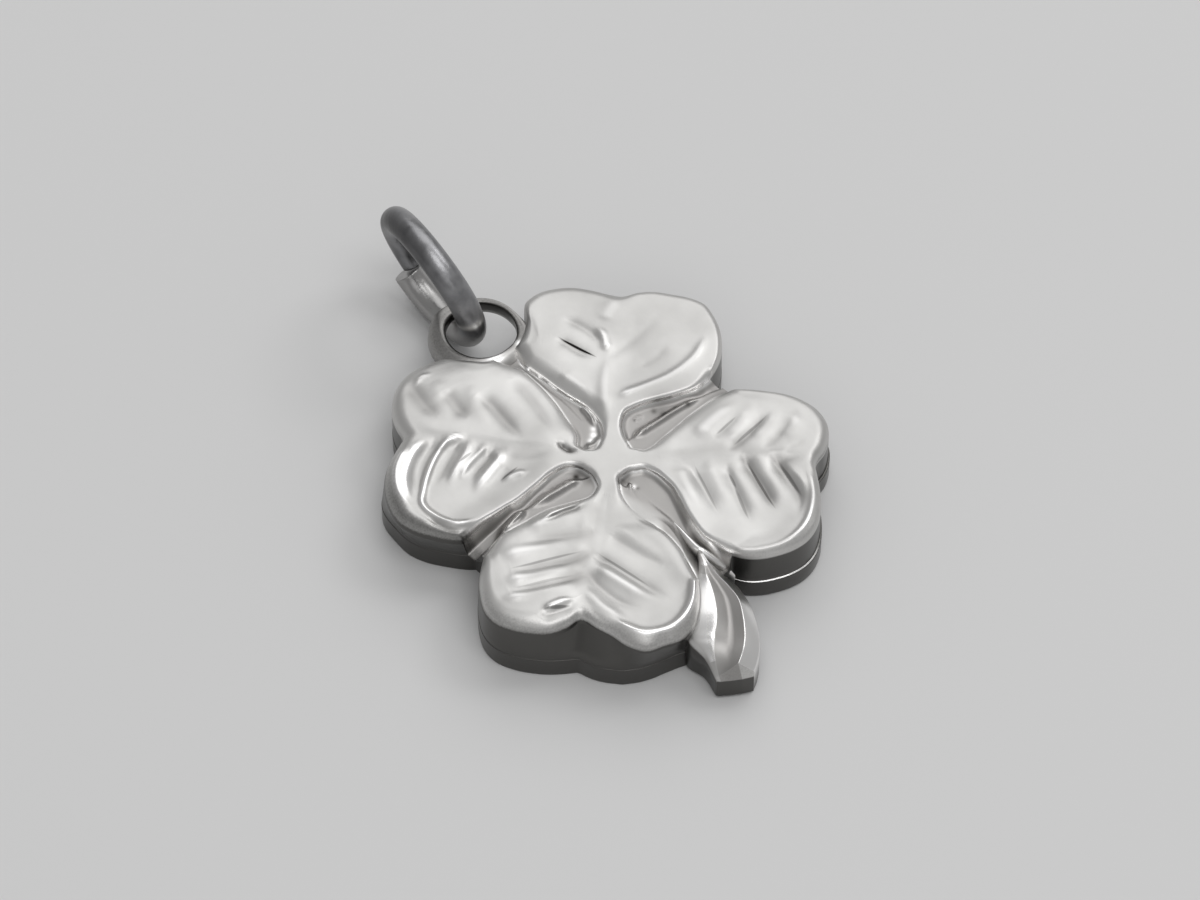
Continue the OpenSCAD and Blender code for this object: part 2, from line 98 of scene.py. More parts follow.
LEAF_SIDE_RIGHT = [
    [[0.8, -7.9], [4.4, -7.8], [6.9, -8.9], [9.2, -10.4], [11.1, -14.6], [11.7, -19.2], [11.8, -23.5],
     [10.7, -28.5], [9.7, -32.3], [8.8, -36.1], [8.1, -40.6], [7.8, -45.3], [8.8, -49.7], [11.7, -57.5]],
    [[11.3, 1.2], [12, 4.9], [13.9, 8.9], [16.5, 11.6], [19.2, 12.9], [22.9, 12.6], [26.4, 11.8],
     [30.5, 10.4], [35.9, 8.4], [40.1, 7.1], [44.7, 6.1], [49, 6.3], [53, 7.2]],
    [[-1.6, 8.2], [-3.2, 10], [-3.6, 12.6], [-1.6, 15], [-0.2, 18], [0.8, 24.4], [2, 33.1], [2.2, 39.9],
     [1.8, 45.8], [1.2, 51], [-0.4, 55], [-3.5, 61]],
    [[-7.9, -4], [-9, -6.4], [-11.4, -7.8], [-14.1, -8], [-16.8, -7.2], [-20.6, -5.8], [-25, -4.2],
     [-29.6, -3], [-34.8, -2.6], [-39.5, -2.4], [-44, -2], [-50, -2], [-57.5, -4]],
]
LEAF_SIDE_LEFT = [
    [[12.2, -1.9], [13.9, -3.9], [17, -4.5], [20.1, -4.2], [25, -3.5], [30.8, -2.7], [36.7, -1.8],
     [42.3, -1.4], [47.7, -1.2], [55, -1.5]],
    [[4.2, 8.6], [6.6, 10.8], [8.6, 14.6], [9.4, 19], [9.4, 23], [8.7, 27], [7.5, 31], [6, 37],
     [4.9, 43.4], [3.6, 49], [3.2, 53], [5, 61]],
    [[-8.2, 2.9], [-9.7, 5.4], [-11.9, 7], [-14.9, 7.7], [-19.9, 7.7], [-23.9, 7], [-29.5, 6.2],
     [-35.2, 5.6], [-39.9, 5.8], [-45.1, 5.9], [-50, 6.1], [-59.5, 5.5]],
    [[-2, -10.4], [-3.9, -14], [-4.7, -18], [-4.7, -21.7], [-3.9, -27.3], [-2.5, -32.1], [-1.4, -37.4],
     [-1.4, -43], [-2.1, -48], [-4, -58.5]],
]


# %% Helpers that read the drawing
def smooth(x):
    x = np.clip(x, 0, 1)
    return x * x * (3 - 2 * x)


def mix(a, b, share):
    return a + (b - a) * share


def read_table(table, key):
    """A smooth curve through the rows [key, value] of a table."""
    keys, values = np.asarray(table, float).T
    slopes = np.gradient(values, keys)
    slopes[1:-1] = (values[2:] - values[:-2]) / (keys[2:] - keys[:-2])
    i = np.clip(np.searchsorted(keys, key, side="right") - 1, 0, len(keys) - 2)
    step = keys[i + 1] - keys[i]
    s = np.clip((key - keys[i]) / step, 0, 1)
    return (values[i] * (2 * s**3 - 3 * s**2 + 1) + slopes[i] * step * (s**3 - 2 * s**2 + s)
            + values[i + 1] * (3 * s**2 - 2 * s**3) + slopes[i + 1] * step * (s**3 - s**2))


def flat(r, angle):
    """Across and up from the middle, for a radius and an angle in degrees."""
    return r * np.cos(np.radians(angle)), r * np.sin(np.radians(angle))


def polar(points, axis):
    """Angles in degrees from an axis and radii in mm, for drawn points."""
    x, y = np.asarray(points, float).T
    angle = np.degrees(np.arctan2(y, x)) - axis
    angle = angle - 360 * np.floor((angle + 180) / 360)
    return angle, np.hypot(x, y) * UNIT


# how far the worn rim of the bottom leaf stands out from its drawn edge: degrees from its middle, mm
RIM_SHIFT = [[-40, 0], [-29, -0.12], [-22, -0.07], [-15, -0.1], [-7, -0.2], [-2.8, -0.35], [0.8, -0.46],
             [5.2, -0.23], [10.4, -0.14], [17.4, 0.05], [24, -0.18], [29, -0.2], [36, 0]]
# how far the foot of the wall stands out from the rim: degrees round the clover, mm
FOOT_SHIFT = [[140, 0], [148, 0.1], [157, -0.25], [164, -0.42], [171, -0.5], [180, -0.4], [188, 0],
              [199, 0.07], [210, 0.14], [217, 0.22], [221.5, 0.46], [224, 0.68], [227, 0.75], [230, 0.66],
              [233.3, 0.52], [236, 0.29], [238, 0.07], [240.5, -0.15], [243, -0.29], [247, -0.31],
              [252, -0.36], [256, -0.12], [260, 0]]
# the rims as angle and radius, the sides as radius and angle
RIM_TABLE = []
for k in range(4):
    angle, radius = polar(LEAF_RIM[k], LEAF_AXIS[k])
    shift = read_table(RIM_SHIFT, angle) if k == 3 else 0
    RIM_TABLE.append(np.column_stack([angle, radius + shift]))
RIGHT_TABLE, LEFT_TABLE = [[np.column_stack(polar(side[k], LEAF_AXIS[k])[::-1]) for k in range(4)]
                           for side in (LEAF_SIDE_RIGHT, LEAF_SIDE_LEFT)]
print("leaf reach in mm:", [round(float(t[:, 1].max()), 2) for t in RIM_TABLE])

# %% [markdown]
# ## Veins, ribs and crests
# On the master the veins were raised and the creases between them pressed in with a rounded tool. Each is
# one stroke here: a line with a width and a height. It is a soft mound, or a crease where its height is
# below 0. Strokes that meet add up and flow into each other, as modelled wax does.

# %% Strokes of each leaf: width in tenths of a mm, height in mm, then points [across, out] in tenths
LEAF_STROKES = [[  # right leaf
    (3.2, -0.05, [-2.3, 24], [-3.8, 40], [-3.8, 47], [-2.7, 55], [0, 65], [0.6, 72]),
    (2.2, -0.05, [-9.4, 39.2], [-14.6, 43.6], [-19, 48]),
    (2.2, -0.09, [-5, 45], [-11, 51], [-16, 55], [-20, 58]),
    (2.2, -0.06, [-5.5, 57], [-9.6, 61], [-17, 66]),
    (1.2, -0.03, [-4, 65], [-7.4, 71]),
    (3.5, 0.05, [-9, 32], [-16, 38], [-25, 48]),
    (2.8, 0.04, [-8.4, 43.4], [-17.4, 49.4], [-24.4, 54]),
    (2.8, 0.04, [-8.3, 52.6], [-13.8, 57.3], [-21.5, 62.6]),
    (3, 0.04, [-8.9, 63.4], [-20.7, 70]),
    (2, -0.06, [4.7, 31], [13.7, 35.6], [22.7, 39.4]),
    (1.9, -0.07, [4.1, 43.2], [12.4, 45.8], [25.5, 50.6]),
    (2, -0.11, [-1, 49], [9.7, 55], [20, 59.5]),
    (2.4, -0.1, [-0.9, 59.8], [8.5, 65.2], [16, 68.4], [22, 68]),
    (3, 0.04, [1.2, 25.6], [13.7, 30.5], [21.9, 33.7]),
    (3, 0.04, [0, 36], [9.6, 40], [20, 43.5]),
    (3, 0.04, [1.3, 44], [11.1, 49.5], [23.5, 54.5]),
    (3, 0.05, [-2, 53.4], [9.1, 59.9], [19.4, 63.7]),
    (1.8, 0.06, [2.2, 64.1], [9.2, 69.2], [16.1, 71.5]),
    (1.3, 0.08, [12.2, 24.9], [23.2, 29.2], [32.1, 33.6], [37.6, 40.2], [40.1, 48], [39.1, 56.5],
     [35.8, 63.9], [28.4, 70.3], [18.8, 73.4], [9.9, 73.4], [5.1, 71]),
], [  # top leaf
    (2.4, 0.05, [-2.6, 20.8], [-4.4, 32], [-4.4, 41.7], [-4.7, 47]),
    (1.9, 0.09, [-4.7, 47], [-7.5, 54.4], [-10.7, 58.2]),
    (2, -0.08, [-20.9, 59.8], [-13.9, 56.4], [-8.9, 52.2], [-7.3, 50.3]),
    (3.5, 0.05, [-7, 60], [-6, 65.7], [-2.3, 73]),
    (2, -0.09, [-23, 50.6], [-19.7, 48.9], [-13.7, 45.4], [-10, 44.3]),
    (2, -0.05, [-2.6, 46], [1.3, 50.6], [7.6, 58.9], [9.9, 63.3]),
    (1.8, -0.05, [8.2, 43], [12.8, 47], [16, 53]),
    (1.8, 0.07, [0.5, 27.9], [10.9, 34.2], [19.6, 40.3], [27, 49.4], [29.9, 59.4]),
    (2.6, -0.03, [4.8, 34.5], [12.6, 38.8], [20.6, 46.6], [26.7, 57.6]),
    (3, 0.05, [-21, 35.6], [-13, 30.4], [-8, 26]),
    (4, 0.03, [-33, 49], [-25, 43.4], [-18, 40]),
    (1.3, 0.07, [37, 49], [33.5, 40.5], [24.3, 32.7], [11.2, 26.4], [5.2, 21], [4, 16], [7.7, 7.8]),
], [  # left leaf
    (2.2, 0.11, [-0.5, 65.3], [-7.5, 68.9], [-15.8, 69.9], [-22.7, 68.7], [-28.5, 65.4]),
    (1.6, 0.08, [-5.4, 71.7], [-13.4, 73.7], [-21.4, 72.8], [-26.7, 69.5], [-30.7, 65]),
    (2, 0.08, [1.3, 48.6], [-5.1, 50.2], [-11.8, 52.3], [-19.1, 54.4]),
    (1.2, 0.07, [0.1, 43.2], [-5.1, 46.6], [-9.5, 48.8], [-15.4, 50.3]),
    (2.5, 0.1, [-1.1, 35.7], [-6.9, 38.9], [-13.2, 41.8], [-20.6, 44.6]),
    (1.4, 0.06, [-8.7, 27.3], [-10.7, 31.8], [-14.6, 35.5]),
    (2, -0.04, [-1, 62.5], [-12, 65], [-22, 65]),
    (1.8, -0.06, [1, 53], [-6, 55.7], [-14, 57.7], [-20, 59.5]),
    (2.2, -0.08, [-2, 41], [-9, 44.5], [-15, 47]),
    (2, -0.03, [-8, 34.5], [-17, 40]),
    (1.2, 0.1, [-6.5, 4.8], [-4, 10.5], [-6, 15.5], [-10.7, 20], [-16, 24], [-21.8, 28.1],
     [-29.3, 35.5], [-33.9, 43.4], [-34.5, 51], [-31.5, 58.1], [-28, 61.6], [-24.4, 62.2],
     [-16.2, 62.1], [-7.8, 60.7], [-0.9, 57.9], [2.1, 53.1], [1.8, 49.7]),
    (1.2, -0.12, [-33, 38], [-36.6, 44], [-37, 51], [-33.5, 59]),
    (3.2, -0.09, [22.4, 74.9], [15, 68.8], [8.7, 62.9]),
    (3.2, -0.1, [20.7, 62], [15.5, 57.3], [10.4, 51.6]),
    (3, -0.11, [21.4, 49.5], [16.4, 43.4], [10.2, 37.1], [4.5, 31]),
    (3.4, 0.04, [25, 66], [18, 62], [8, 58]),
    (3.4, 0.04, [25, 53], [18, 49], [8, 44]),
    (3, -0.08, [30.2, 38.3], [22.9, 31.3], [14.5, 24.2], [8, 19.5]),
    (1, -0.12, [5.3, 18.1], [3.6, 15.8], [2.9, 13.2], [4.7, 9.2]),
    (1, 0.05, [22.7, 72.7], [25.9, 71], [27.6, 67.7]),
], [  # bottom leaf
    (3.4, -0.05, [-1.2, 14.3], [0, 24.9], [1, 42.3], [1.4, 54], [0, 62]),
    (2.8, -0.07, [0, 30.7], [5.3, 33.2], [14.3, 36.6], [24.1, 40.5]),
    (2.4, -0.09, [-0.1, 40.4], [5.5, 44.2], [12.5, 47.8], [24.9, 53]),
    (2.4, -0.09, [-0.1, 49], [5.1, 52.1], [11.2, 55.6], [24.4, 61.4]),
    (3, 0.05, [23.6, 33.5], [13.6, 27.9], [3.4, 23.2]),
    (3, 0.06, [30.5, 46.7], [18.2, 42], [7.5, 36.5]),
    (3, 0.07, [27, 57.2], [14, 51.6], [4.7, 46.5]),
    (2.4, 0.06, [27, 65], [13.6, 59], [2.3, 54]),
    (1.5, 0.09, [11.6, 66.9], [7, 63.2], [1.7, 60.6]),
    (2, -0.08, [11.9, 69.6], [5.2, 65.9], [0, 63.4]),
    (1.2, 0.1, [4.9, 18.1], [11.7, 23.3], [15.1, 26.1], [18.3, 29.5]),
    (1.4, -0.1, [6.4, 20.8], [12.8, 25.5], [17, 30]),
    (2.2, -0.07, [-2.5, 40.6], [-12.9, 45.8], [-21.1, 50.2], [-29.7, 54]),
    (2.8, 0.07, [-2.8, 44.4], [-16.5, 51.5], [-27, 56.5]),
    (2.4, -0.07, [0.3, 46.8], [-5.4, 52.7], [-13.8, 58.2], [-21.7, 60.3]),
    (2.4, 0.05, [-1.3, 54.7], [-9, 61.8], [-18.8, 66.3]),
    (2, -0.05, [-0.5, 58.4], [-7.6, 66.3], [-14, 70.8]),
    (2.8, -0.05, [-6.7, 31.7], [-17, 37], [-26.4, 41]),
    (3, 0.04, [-7.4, 26.3], [-18.8, 34.2], [-28.4, 39.7]),
    (1.6, 0.1, [-15, 22.5], [-20.9, 24.1], [-29.4, 29.7], [-35.2, 36.6], [-38.6, 45.2],
     [-39.3, 54.8], [-36.4, 63.4], [-31, 68.8], [-22.4, 70.4], [-13, 66.4]),
]]

# %% [markdown]
# ## The recesses
# Between two leaves lies a teardrop recess with a sunk floor and a raised crest along it. A floor of its
# own would have to meet the leaves point for point. A depth on each side of a dividing line keeps the
# casting one skin, as it is in metal.

# %% Forms of each recess, which lies between a leaf and the next one
# the end of the recess at the hub
RECESS_TIPS = [[11, -0.4], [1, 7], [-7.4, -0.6], [-0.9, -8.5]]
# a line that divides the floor in two, going out
RECESS_DIVIDES = [
    [[10, 3.8], [14.8, 3.5], [25, 3.5], [32.3, 3.6], [39, 3.3], [46.6, 2.8], [60, 2]],
    [[1, 5], [4.5, 18], [5, 30], [3.5, 42], [2, 60]],
    [[-6, -1.2], [-10.4, -0.1], [-14.6, 1], [-21.5, 1.2], [-28, 1.6], [-34.3, 2.2], [-40.8, 1.2],
     [-62, -1.2]],
    [[-2, -8.4], [-0.8, -10], [0, -11.2], [2.6, -12.4], [2.4, -15], [2.5, -21.3], [3.3, -26.9],
     [4.6, -34.1], [4.5, -42], [4.6, -46.5], [8.1, -53.3], [11, -57]],
]
# the floor on the right and on the left of that line: depth in mm beside the leaf and beside the line
RECESS_FLOORS = [
    [(0.26, 0.28), (0.34, 0.42)],
    [(0.4, 0.4), (0.4, 0.4)],
    [(0.38, 0.4), (0.18, 0.3)],
    [(0.14, 0.38), (0.38, 0.4)],
]
# how the depth changes on the way out: share of the way to the rim, factor
RECESS_DEPTHS = [
    [[0.15, 1], [0.4, 1], [0.7, 1.1], [0.9, 1.2], [1, 1.6]],
    [[0.15, 1], [0.4, 1], [0.65, 0.8], [0.8, 0.45], [0.86, 0.25], [1, 0.1]],
    [[0.15, 1], [0.4, 1], [0.65, 1.4], [0.85, 2.3], [1, 3]],
    [[0.15, 1], [0.4, 1.05], [0.7, 1.7], [0.88, 3], [1, 4.2]],
]
# width in tenths of a mm, height in mm, then points [x, y] in tenths
RECESS_STROKES = [
    [(1.7, 0.19, [14.3, 3.5], *RECESS_DIVIDES[0][2:6]),
     (0.9, 0.05, [19.5, 9], [24, 9.4])],
    [(1, 0.14, [8.4, 26], [8.8, 23], [8.4, 20], [7.2, 16]),
     (1.8, 0.12, [-2, 10.8], [0, 9.6], [3, 9.4], [6.4, 12])],
    [(2, 0.2, [-10.8, 0], *RECESS_DIVIDES[2][2:6]),
     (1.8, 0.3, [-34.3, 2.2], [-40.8, 1.3], [-50, 0])],
    [(1.2, 0.12, [0.6, -12], [2, -12.8])],
]
# bright spots of painted highlight and dark spots of painted shade and tarnish: x, y, radius, share
HIGHLIGHT_SPOTS = [(2.1, -13.2, 0.9, 1), (2.4, 11.8, 1.2, 1), (4.6, 13.4, 1.2, 1), (6.2, 15.6, 1.1, 0.8)]
SHADE_AND_TARNISH_SPOTS = [
    (28, 8.4, 1, 0.5), (38.8, 2.6, 0.9, 0.8), (31, 8, 4.5, 0.35), (30, 5.2, 1.2, 0.5), (35, 4.8, 1, 0.5),
    (-8.5, 14.6, 1, 0.5), (-7.3, 11.9, 1.1, 0.7), (-11.6, 2.6, 1.1, 0.8), (-9.5, 3.6, 3, 0.5),
    (-9, -1.6, 2.6, 0.45), (0.5, -9.4, 1.5, 0.7), (3, -9, 1.6, 0.45), (2.9, -14.6, 0.7, 0.6),
]


def spots(x, y, table):
    """How much a point is covered by the soft round spots of a table, 0 to 1."""
    cover = 0
    for middle_x, middle_y, size, share in table:
        cover = cover + share * np.exp(-((x - middle_x) ** 2 + (y - middle_y) ** 2) / size**2)
    return np.clip(cover, 0, 1)


# %% Helpers for lines and strokes
def curve(a, b, c, d, s):
    """The point at share s of the way from b to c, on a smooth curve through a, b, c and d."""
    bend = 2 * a - 5 * b + 4 * c - d + s * (3 * (b - c) + d - a)
    return b + 0.5 * s * (c - a + s * bend)


def bent(points, pieces=6):
    """A smooth line through a few points."""
    p = np.asarray(points, float)
    if len(p) < 3:
        return p
    p = np.vstack([2 * p[0] - p[1], p, 2 * p[-1] - p[-2]])
    line = []
    for i in range(1, len(p) - 2):
        line += [curve(*p[i - 1:i + 3], s) for s in np.arange(pieces) / pieces]
    return np.array([*line, p[-2]])


def beside(x, y, line):
    """For points x, y: the gap to a line, its side (1 is the left), the place along it and its length."""
    lengths = np.hypot(*np.diff(line, axis=0).T)
    starts = np.concatenate([[0], np.cumsum(lengths)])
    nearest = np.full(x.shape, 999.0)
    side = np.zeros(x.shape)
    place = np.zeros(x.shape)
    for (x1, y1), (x2, y2), start, length in zip(line[:-1], line[1:], starts, lengths):
        dx, dy = (x2 - x1) / length, (y2 - y1) / length
        along = np.clip((x - x1) * dx + (y - y1) * dy, 0, length)
        gap = np.hypot(x - x1 - dx * along, y - y1 - dy * along)
        closer = gap < nearest
        nearest = np.where(closer, gap, nearest)
        side = np.where(closer, np.sign(dx * (y - y1) - dy * (x - x1)), side)
        place = np.where(closer, start + along, place)
    return nearest, side, place, starts[-1]


def stroke(x, y, width, height, points):
    """Height of one stroke: a round mound, or a crease with broad shoulders, fading at its ends."""
    gap, _, place, whole = beside(x, y, bent(points))
    end = min(0.45 * whole, 5 * width)
    ends = smooth(1.6 * place / end + 0.2) * smooth((whole - place) / end + 0.1)
    gap = gap / (width * (0.55 + 0.45 * ends))
    if height > 0:
        return height * ends * np.exp(-gap * gap)
    return height * ends * np.exp(0.5 - np.sqrt(1.4 * gap * gap + 0.27))


def longer(points, share):
    """The same line with both ends drawn out by a share of its length."""
    p = np.asarray(points, float)
    size = share * np.hypot(*np.diff(p, axis=0).T).sum()
    first, last = p[0] - p[1], p[-1] - p[-2]
    return np.vstack([p[0] + first / np.hypot(*first) * size, p, p[-1] + last / np.hypot(*last) * size])


def strokes(x, y, rows, drawn_out=0):
    """The heights of many strokes together. The creases may be drawn out at both ends."""
    total = 0
    for width, height, *points in rows:
        if height < 0:
            points = longer(points, drawn_out)
        total = total + stroke(x, y, width, height, points)
    return total


# %% [markdown]
# ## The height of the casting
# A leaf is a shallow dish on each side of its midrib, rounded over at the rim and crisp where it meets a
# recess. A recess is a floor with steep sides. Both are a height for any angle and radius, which suits a
# form that left its mould with no undercuts.


# %% Height of a leaf and of a recess
def rounded(share):
    """A quarter round: 1 at the edge, 0 where the rounding ends."""
    s = np.clip(share, 0, 1)
    return 1 - np.sqrt(1 - (1 - s) ** 2)


# the outline of each recess: in along one leaf, round the tip at the hub and out along the next leaf
RECESS_LINES = [bent([*LEAF_SIDE_LEFT[k][::-1], RECESS_TIPS[k], *LEAF_SIDE_RIGHT[(k + 1) % 4]])
                for k in range(4)]


def recess_gap(k, x, y):
    """Gap in mm from the outline of a recess, above 0 outside of it."""
    gap, side = beside(x / UNIT, y / UNIT, RECESS_LINES[k])[:2]
    return gap * side * UNIT


# each half of a leaf, clockwise half first: rise of its middle in mm, width and drop of its rounded rim,
# width and drop of its edge at the recess
HALVES = [
    [(-0.12, 0.28, 0.3, 0.16, 0.2), (0.07, 0.5, 0.5, 0.5, 0.25)],
    [(-0.02, 0.35, 0.4, 0.16, 0.2), (0.04, 0.5, 0.5, 0.55, 0.4)],
    [(0.06, 0.6, 0.55, 0.8, 0.36), (-0.14, 0.55, 0.7, 0.14, 0.2)],
    [(0.06, 0.7, 0.6, 0.6, 0.3), (-0.1, 0.5, 0.5, 0.6, 0.3)],
]


def past_hub(r):
    """0 on the smooth hub, 1 where the leaf has its own shape."""
    return smooth((r - HUB) / 1.4)


def edge_shape(k, half, r):
    """Width and drop of a leaf's edge along a recess: its own between the hub and the rim."""
    roll_width, roll_drop, lip_width, lip_drop = HALVES[k][half][1:]
    end = RIGHT_TABLE[k][-1, 0]
    outer = smooth((r - end * 0.8) / (end * 0.2))
    return (mix(mix(LIP_WIDTH, lip_width, past_hub(r)), roll_width, outer),
            mix(mix(LIP_DROP + HUB_SUNK, lip_drop, past_hub(r)), roll_drop, outer))


# where the bottom leaf melts into the recess: drop of its edge, width of its slope and depth, in mm
SOFT_DROP = 0.26
SOFT_WIDTH = 1.2
SOFT_DEPTH = 0.38
# widths of the midrib, in tenths of a mm, and of a dish's slope and a recess's side, in mm
MIDRIB_WIDTH = 9
DISH_WIDTH = 1.1
SIDE_WIDTH = 0.24


def soft_side(r):
    """How far the bottom leaf melts into the recess on its right: most at 2.5 mm from the middle."""
    return smooth((r - HUB) / 1.3) * smooth((3.6 - r) / 0.9)


# for each leaf: strength of its strokes, how far its creases are drawn out, how much painted shade its
# rounded rim gets
STROKE_STRENGTH = [1.3, 1, 1.2, 1.3]
DRAWN_OUT = [0.1, 0.1, 0, 0]
RIM_SHADE = [0.1, 0, 0.6, 0.22]


def leaf_height(k, r, angle, reach):
    """Height of points of a leaf in mm, and their relief, their polish with a painted highlight at the
    lips, and their share of painted floor shade, which is 0 on a leaf.
    """
    x, y = flat(r, angle)
    right_gap, left_gap = [np.clip(recess_gap(m, x, y), 0, None) for m in ((k + 3) % 4, k)]
    side_gap = np.minimum(right_gap, left_gap)
    rim_gap = reach - r
    off = np.radians(angle - LEAF_AXIS[k])
    across = -r * np.sin(off) / UNIT
    out = r * np.cos(off) / UNIT
    half = smooth(0.5 - across / MIDRIB_WIDTH)
    rise, roll_width, roll_drop = [mix(*pair, half) for pair in zip(HALVES[k][0][:3], HALVES[k][1][:3])]
    side_drop = 0
    soft = (k == 3) * soft_side(r)
    for gap, melt, (width, drop) in ((right_gap, 0, edge_shape(k, 0, r)),
                                     (left_gap, soft, edge_shape(k, 1, r))):
        crisp = (drop - HUB_SUNK * (1 - past_hub(r))) * rounded(gap / width)
        gentle = SOFT_DROP * np.clip(1 - gap / SOFT_WIDTH, 0, 1) ** 1.5
        side_drop = np.maximum(side_drop, mix(crisp, gentle, melt))
    rim_drop = roll_drop * rounded(rim_gap / roll_width)
    inward = np.minimum(side_gap, rim_gap - 0.3)
    fade = smooth((np.minimum(side_gap, rim_gap) - 0.1) / 0.3)
    detail = fade * STROKE_STRENGTH[k] * strokes(across, out, LEAF_STROKES[k], DRAWN_OUT[k])
    dish = mix(-HUB_SUNK, rise * smooth(inward / DISH_WIDTH), past_hub(r))
    height = THICKNESS - np.maximum(side_drop, rim_drop) + dish
    # the crisp edge at a recess gets polish and a painted highlight
    lip = np.exp(-(side_gap / 0.09) ** 2) * (1 - soft * (left_gap < right_gap))
    return height + detail, detail, lip, np.zeros(r.shape)


def recess_height(k, r, angle, reach):
    """The same for points of a recess, which lies between a leaf and the next leaf."""
    n = (k + 1) % 4
    x, y = flat(r, angle)
    gap = -recess_gap(k, x, y)
    line_gap, side = beside(x / UNIT, y / UNIT, bent(RECESS_DIVIDES[k]))[:2]
    line_gap = line_gap * UNIT
    share = np.clip(gap, 0.001, None) / (np.clip(gap, 0.001, None) + line_gap)
    right, left = [mix(*depths, smooth(share)) for depths in RECESS_FLOORS[k]]
    on_left = smooth(0.5 + side * line_gap / 0.18)
    depth = mix(right, left, on_left) * read_table(RECESS_DEPTHS[k], r / reach)
    detail = np.minimum(strokes(x / UNIT, y / UNIT, RECESS_STROKES[k]), 0.45) * smooth((reach - r) / 0.5)
    edge = THICKNESS - mix(edge_shape(k, 1, r)[1], edge_shape(n, 0, r)[1], on_left)
    soft = (k == 3) * soft_side(r) * (1 - on_left)
    edge = mix(edge, THICKNESS - SOFT_DROP, soft)
    crisp = np.minimum(THICKNESS - depth, edge - 0.04)
    floor = mix(crisp, THICKNESS - mix(SOFT_DROP, SOFT_DEPTH, np.sin(np.pi / 2 * share)), soft)
    floor = np.maximum(floor, PLATE + 0.1) + detail
    wall = np.clip(1 - gap / SIDE_WIDTH, 0, 1) ** 2.2 * (1 - soft)
    inside = HUB_TOP - LIP_DROP * rounded(-gap / LIP_WIDTH)
    # the edge at a leaf gets polish and a painted highlight, the floor painted shade away from its sides
    return (np.where(gap < 0, inside, mix(floor, np.maximum(edge, floor), wall)), detail * (1 - wall),
            np.exp(-(gap / 0.05) ** 2) * (1 - soft), smooth((gap - 0.02) / mix(0.1, 0.8, soft)))


# %% [markdown]
# ## The mesh of the casting
# The mesh is a spider's web: columns run out from the middle and rings run round it. The columns crowd at
# the crisp edges and the rings at the rim, so the small roundings get enough faces to shine smoothly.
# Below the rim the web runs down the wall and round the edge of the back plate, and closes under the back.

# %% Rings and columns of the clover's web
HALF_LEAF = 50
RECESS = 32
HUB_ROWS = np.concatenate([np.arange(0.1, 0.65, 0.06), np.arange(0.7, 1.29, 0.025),
                           np.arange(1.3, 2.11, 0.05)])
MIDDLE_ROWS = 93
EDGE_WIDTH = 0.55
EDGE_GAPS = np.array([0.48, 0.41, 0.34, 0.27, 0.2, 0.14, 0.09, 0.05, 0.02, 0.005, 0])


def radii(reach):
    """Radius of every ring for each column, from the hub out to the rim."""
    hub = np.repeat(HUB_ROWS[:, None], len(reach), axis=1)
    share = np.arange(1, MIDDLE_ROWS + 1)[:, None] / MIDDLE_ROWS
    middle = mix(HUB_ROWS[-1], reach - EDGE_WIDTH, share)
    return np.vstack([hub, middle, reach - EDGE_GAPS[:, None]])


def leaf_columns(k):
    """Radius, angle, height and maps of a leaf's part of the web, and the radius of its rim."""
    s = np.arange(-HALF_LEAF, HALF_LEAF + 1) / HALF_LEAF
    s = 0.6 * s + 0.4 * np.sin(np.pi / 2 * s)
    side = np.where(s < 0, RIGHT_TABLE[k][-1, 1], LEFT_TABLE[k][-1, 1])
    reach = read_table(RIM_TABLE[k], side * np.abs(s))
    r = radii(reach)
    lean = np.where(s < 0, read_table(RIGHT_TABLE[k], r), read_table(LEFT_TABLE[k], r))
    angle = LEAF_AXIS[k] + lean * np.abs(s)
    layers = leaf_height(k, r, angle, reach)
    for m in ((k + 3) % 4, k):
        cut = recess_gap(m, *flat(r, angle)) < 0
        layers = [np.where(cut, *pair) for pair in zip(recess_height(m, r, angle, reach), layers)]
    return r, angle, *layers, reach


def recess_columns(k):
    """The same for the part of the web across a recess."""
    n = (k + 1) % 4
    t = np.arange(1, RECESS + 1) / (RECESS + 1)
    t = 0.35 * smooth(t) + 0.65 * t
    reach = mix(LEFT_TABLE[k][-1, 0], RIGHT_TABLE[n][-1, 0], t)
    r = radii(reach)
    first = LEAF_AXIS[k] + read_table(LEFT_TABLE[k], r)
    last = LEAF_AXIS[n] + read_table(RIGHT_TABLE[n], r) + (360 if k == 3 else 0)
    angle = mix(first, last, t)
    return r, angle, *recess_height(k, r, angle, reach), reach


# %% Heights, wall and back of the web
WALL_FOOT = PLATE + 0.16
# the wall comes down in rows at these shares of its height
WALL_SHARES = (0.04, 0.12, 0.4, 0.8)
# rows of the back plate below it: step out and height in mm
PLATE_ROWS = [
    (0, WALL_FOOT), (0, PLATE + 0.06), (0, PLATE + 0.02), (0.015, PLATE), (LEDGE * 0.5, PLATE),
    (LEDGE - 0.015, PLATE), (LEDGE, PLATE - 0.02), (LEDGE, PLATE - 0.1), (LEDGE, 0.5), (LEDGE, 0.1),
    (LEDGE - 0.01, 0.05), (LEDGE - 0.03, 0.02), (LEDGE - 0.06, 0),
]
# the rows of the ledge, counted from the rim, which get a painted highlight on the right leaf
LEDGE_ROWS = (7, 10)
# how far out the middle of each leaf lies
LEAF_MIDDLE = 4.5


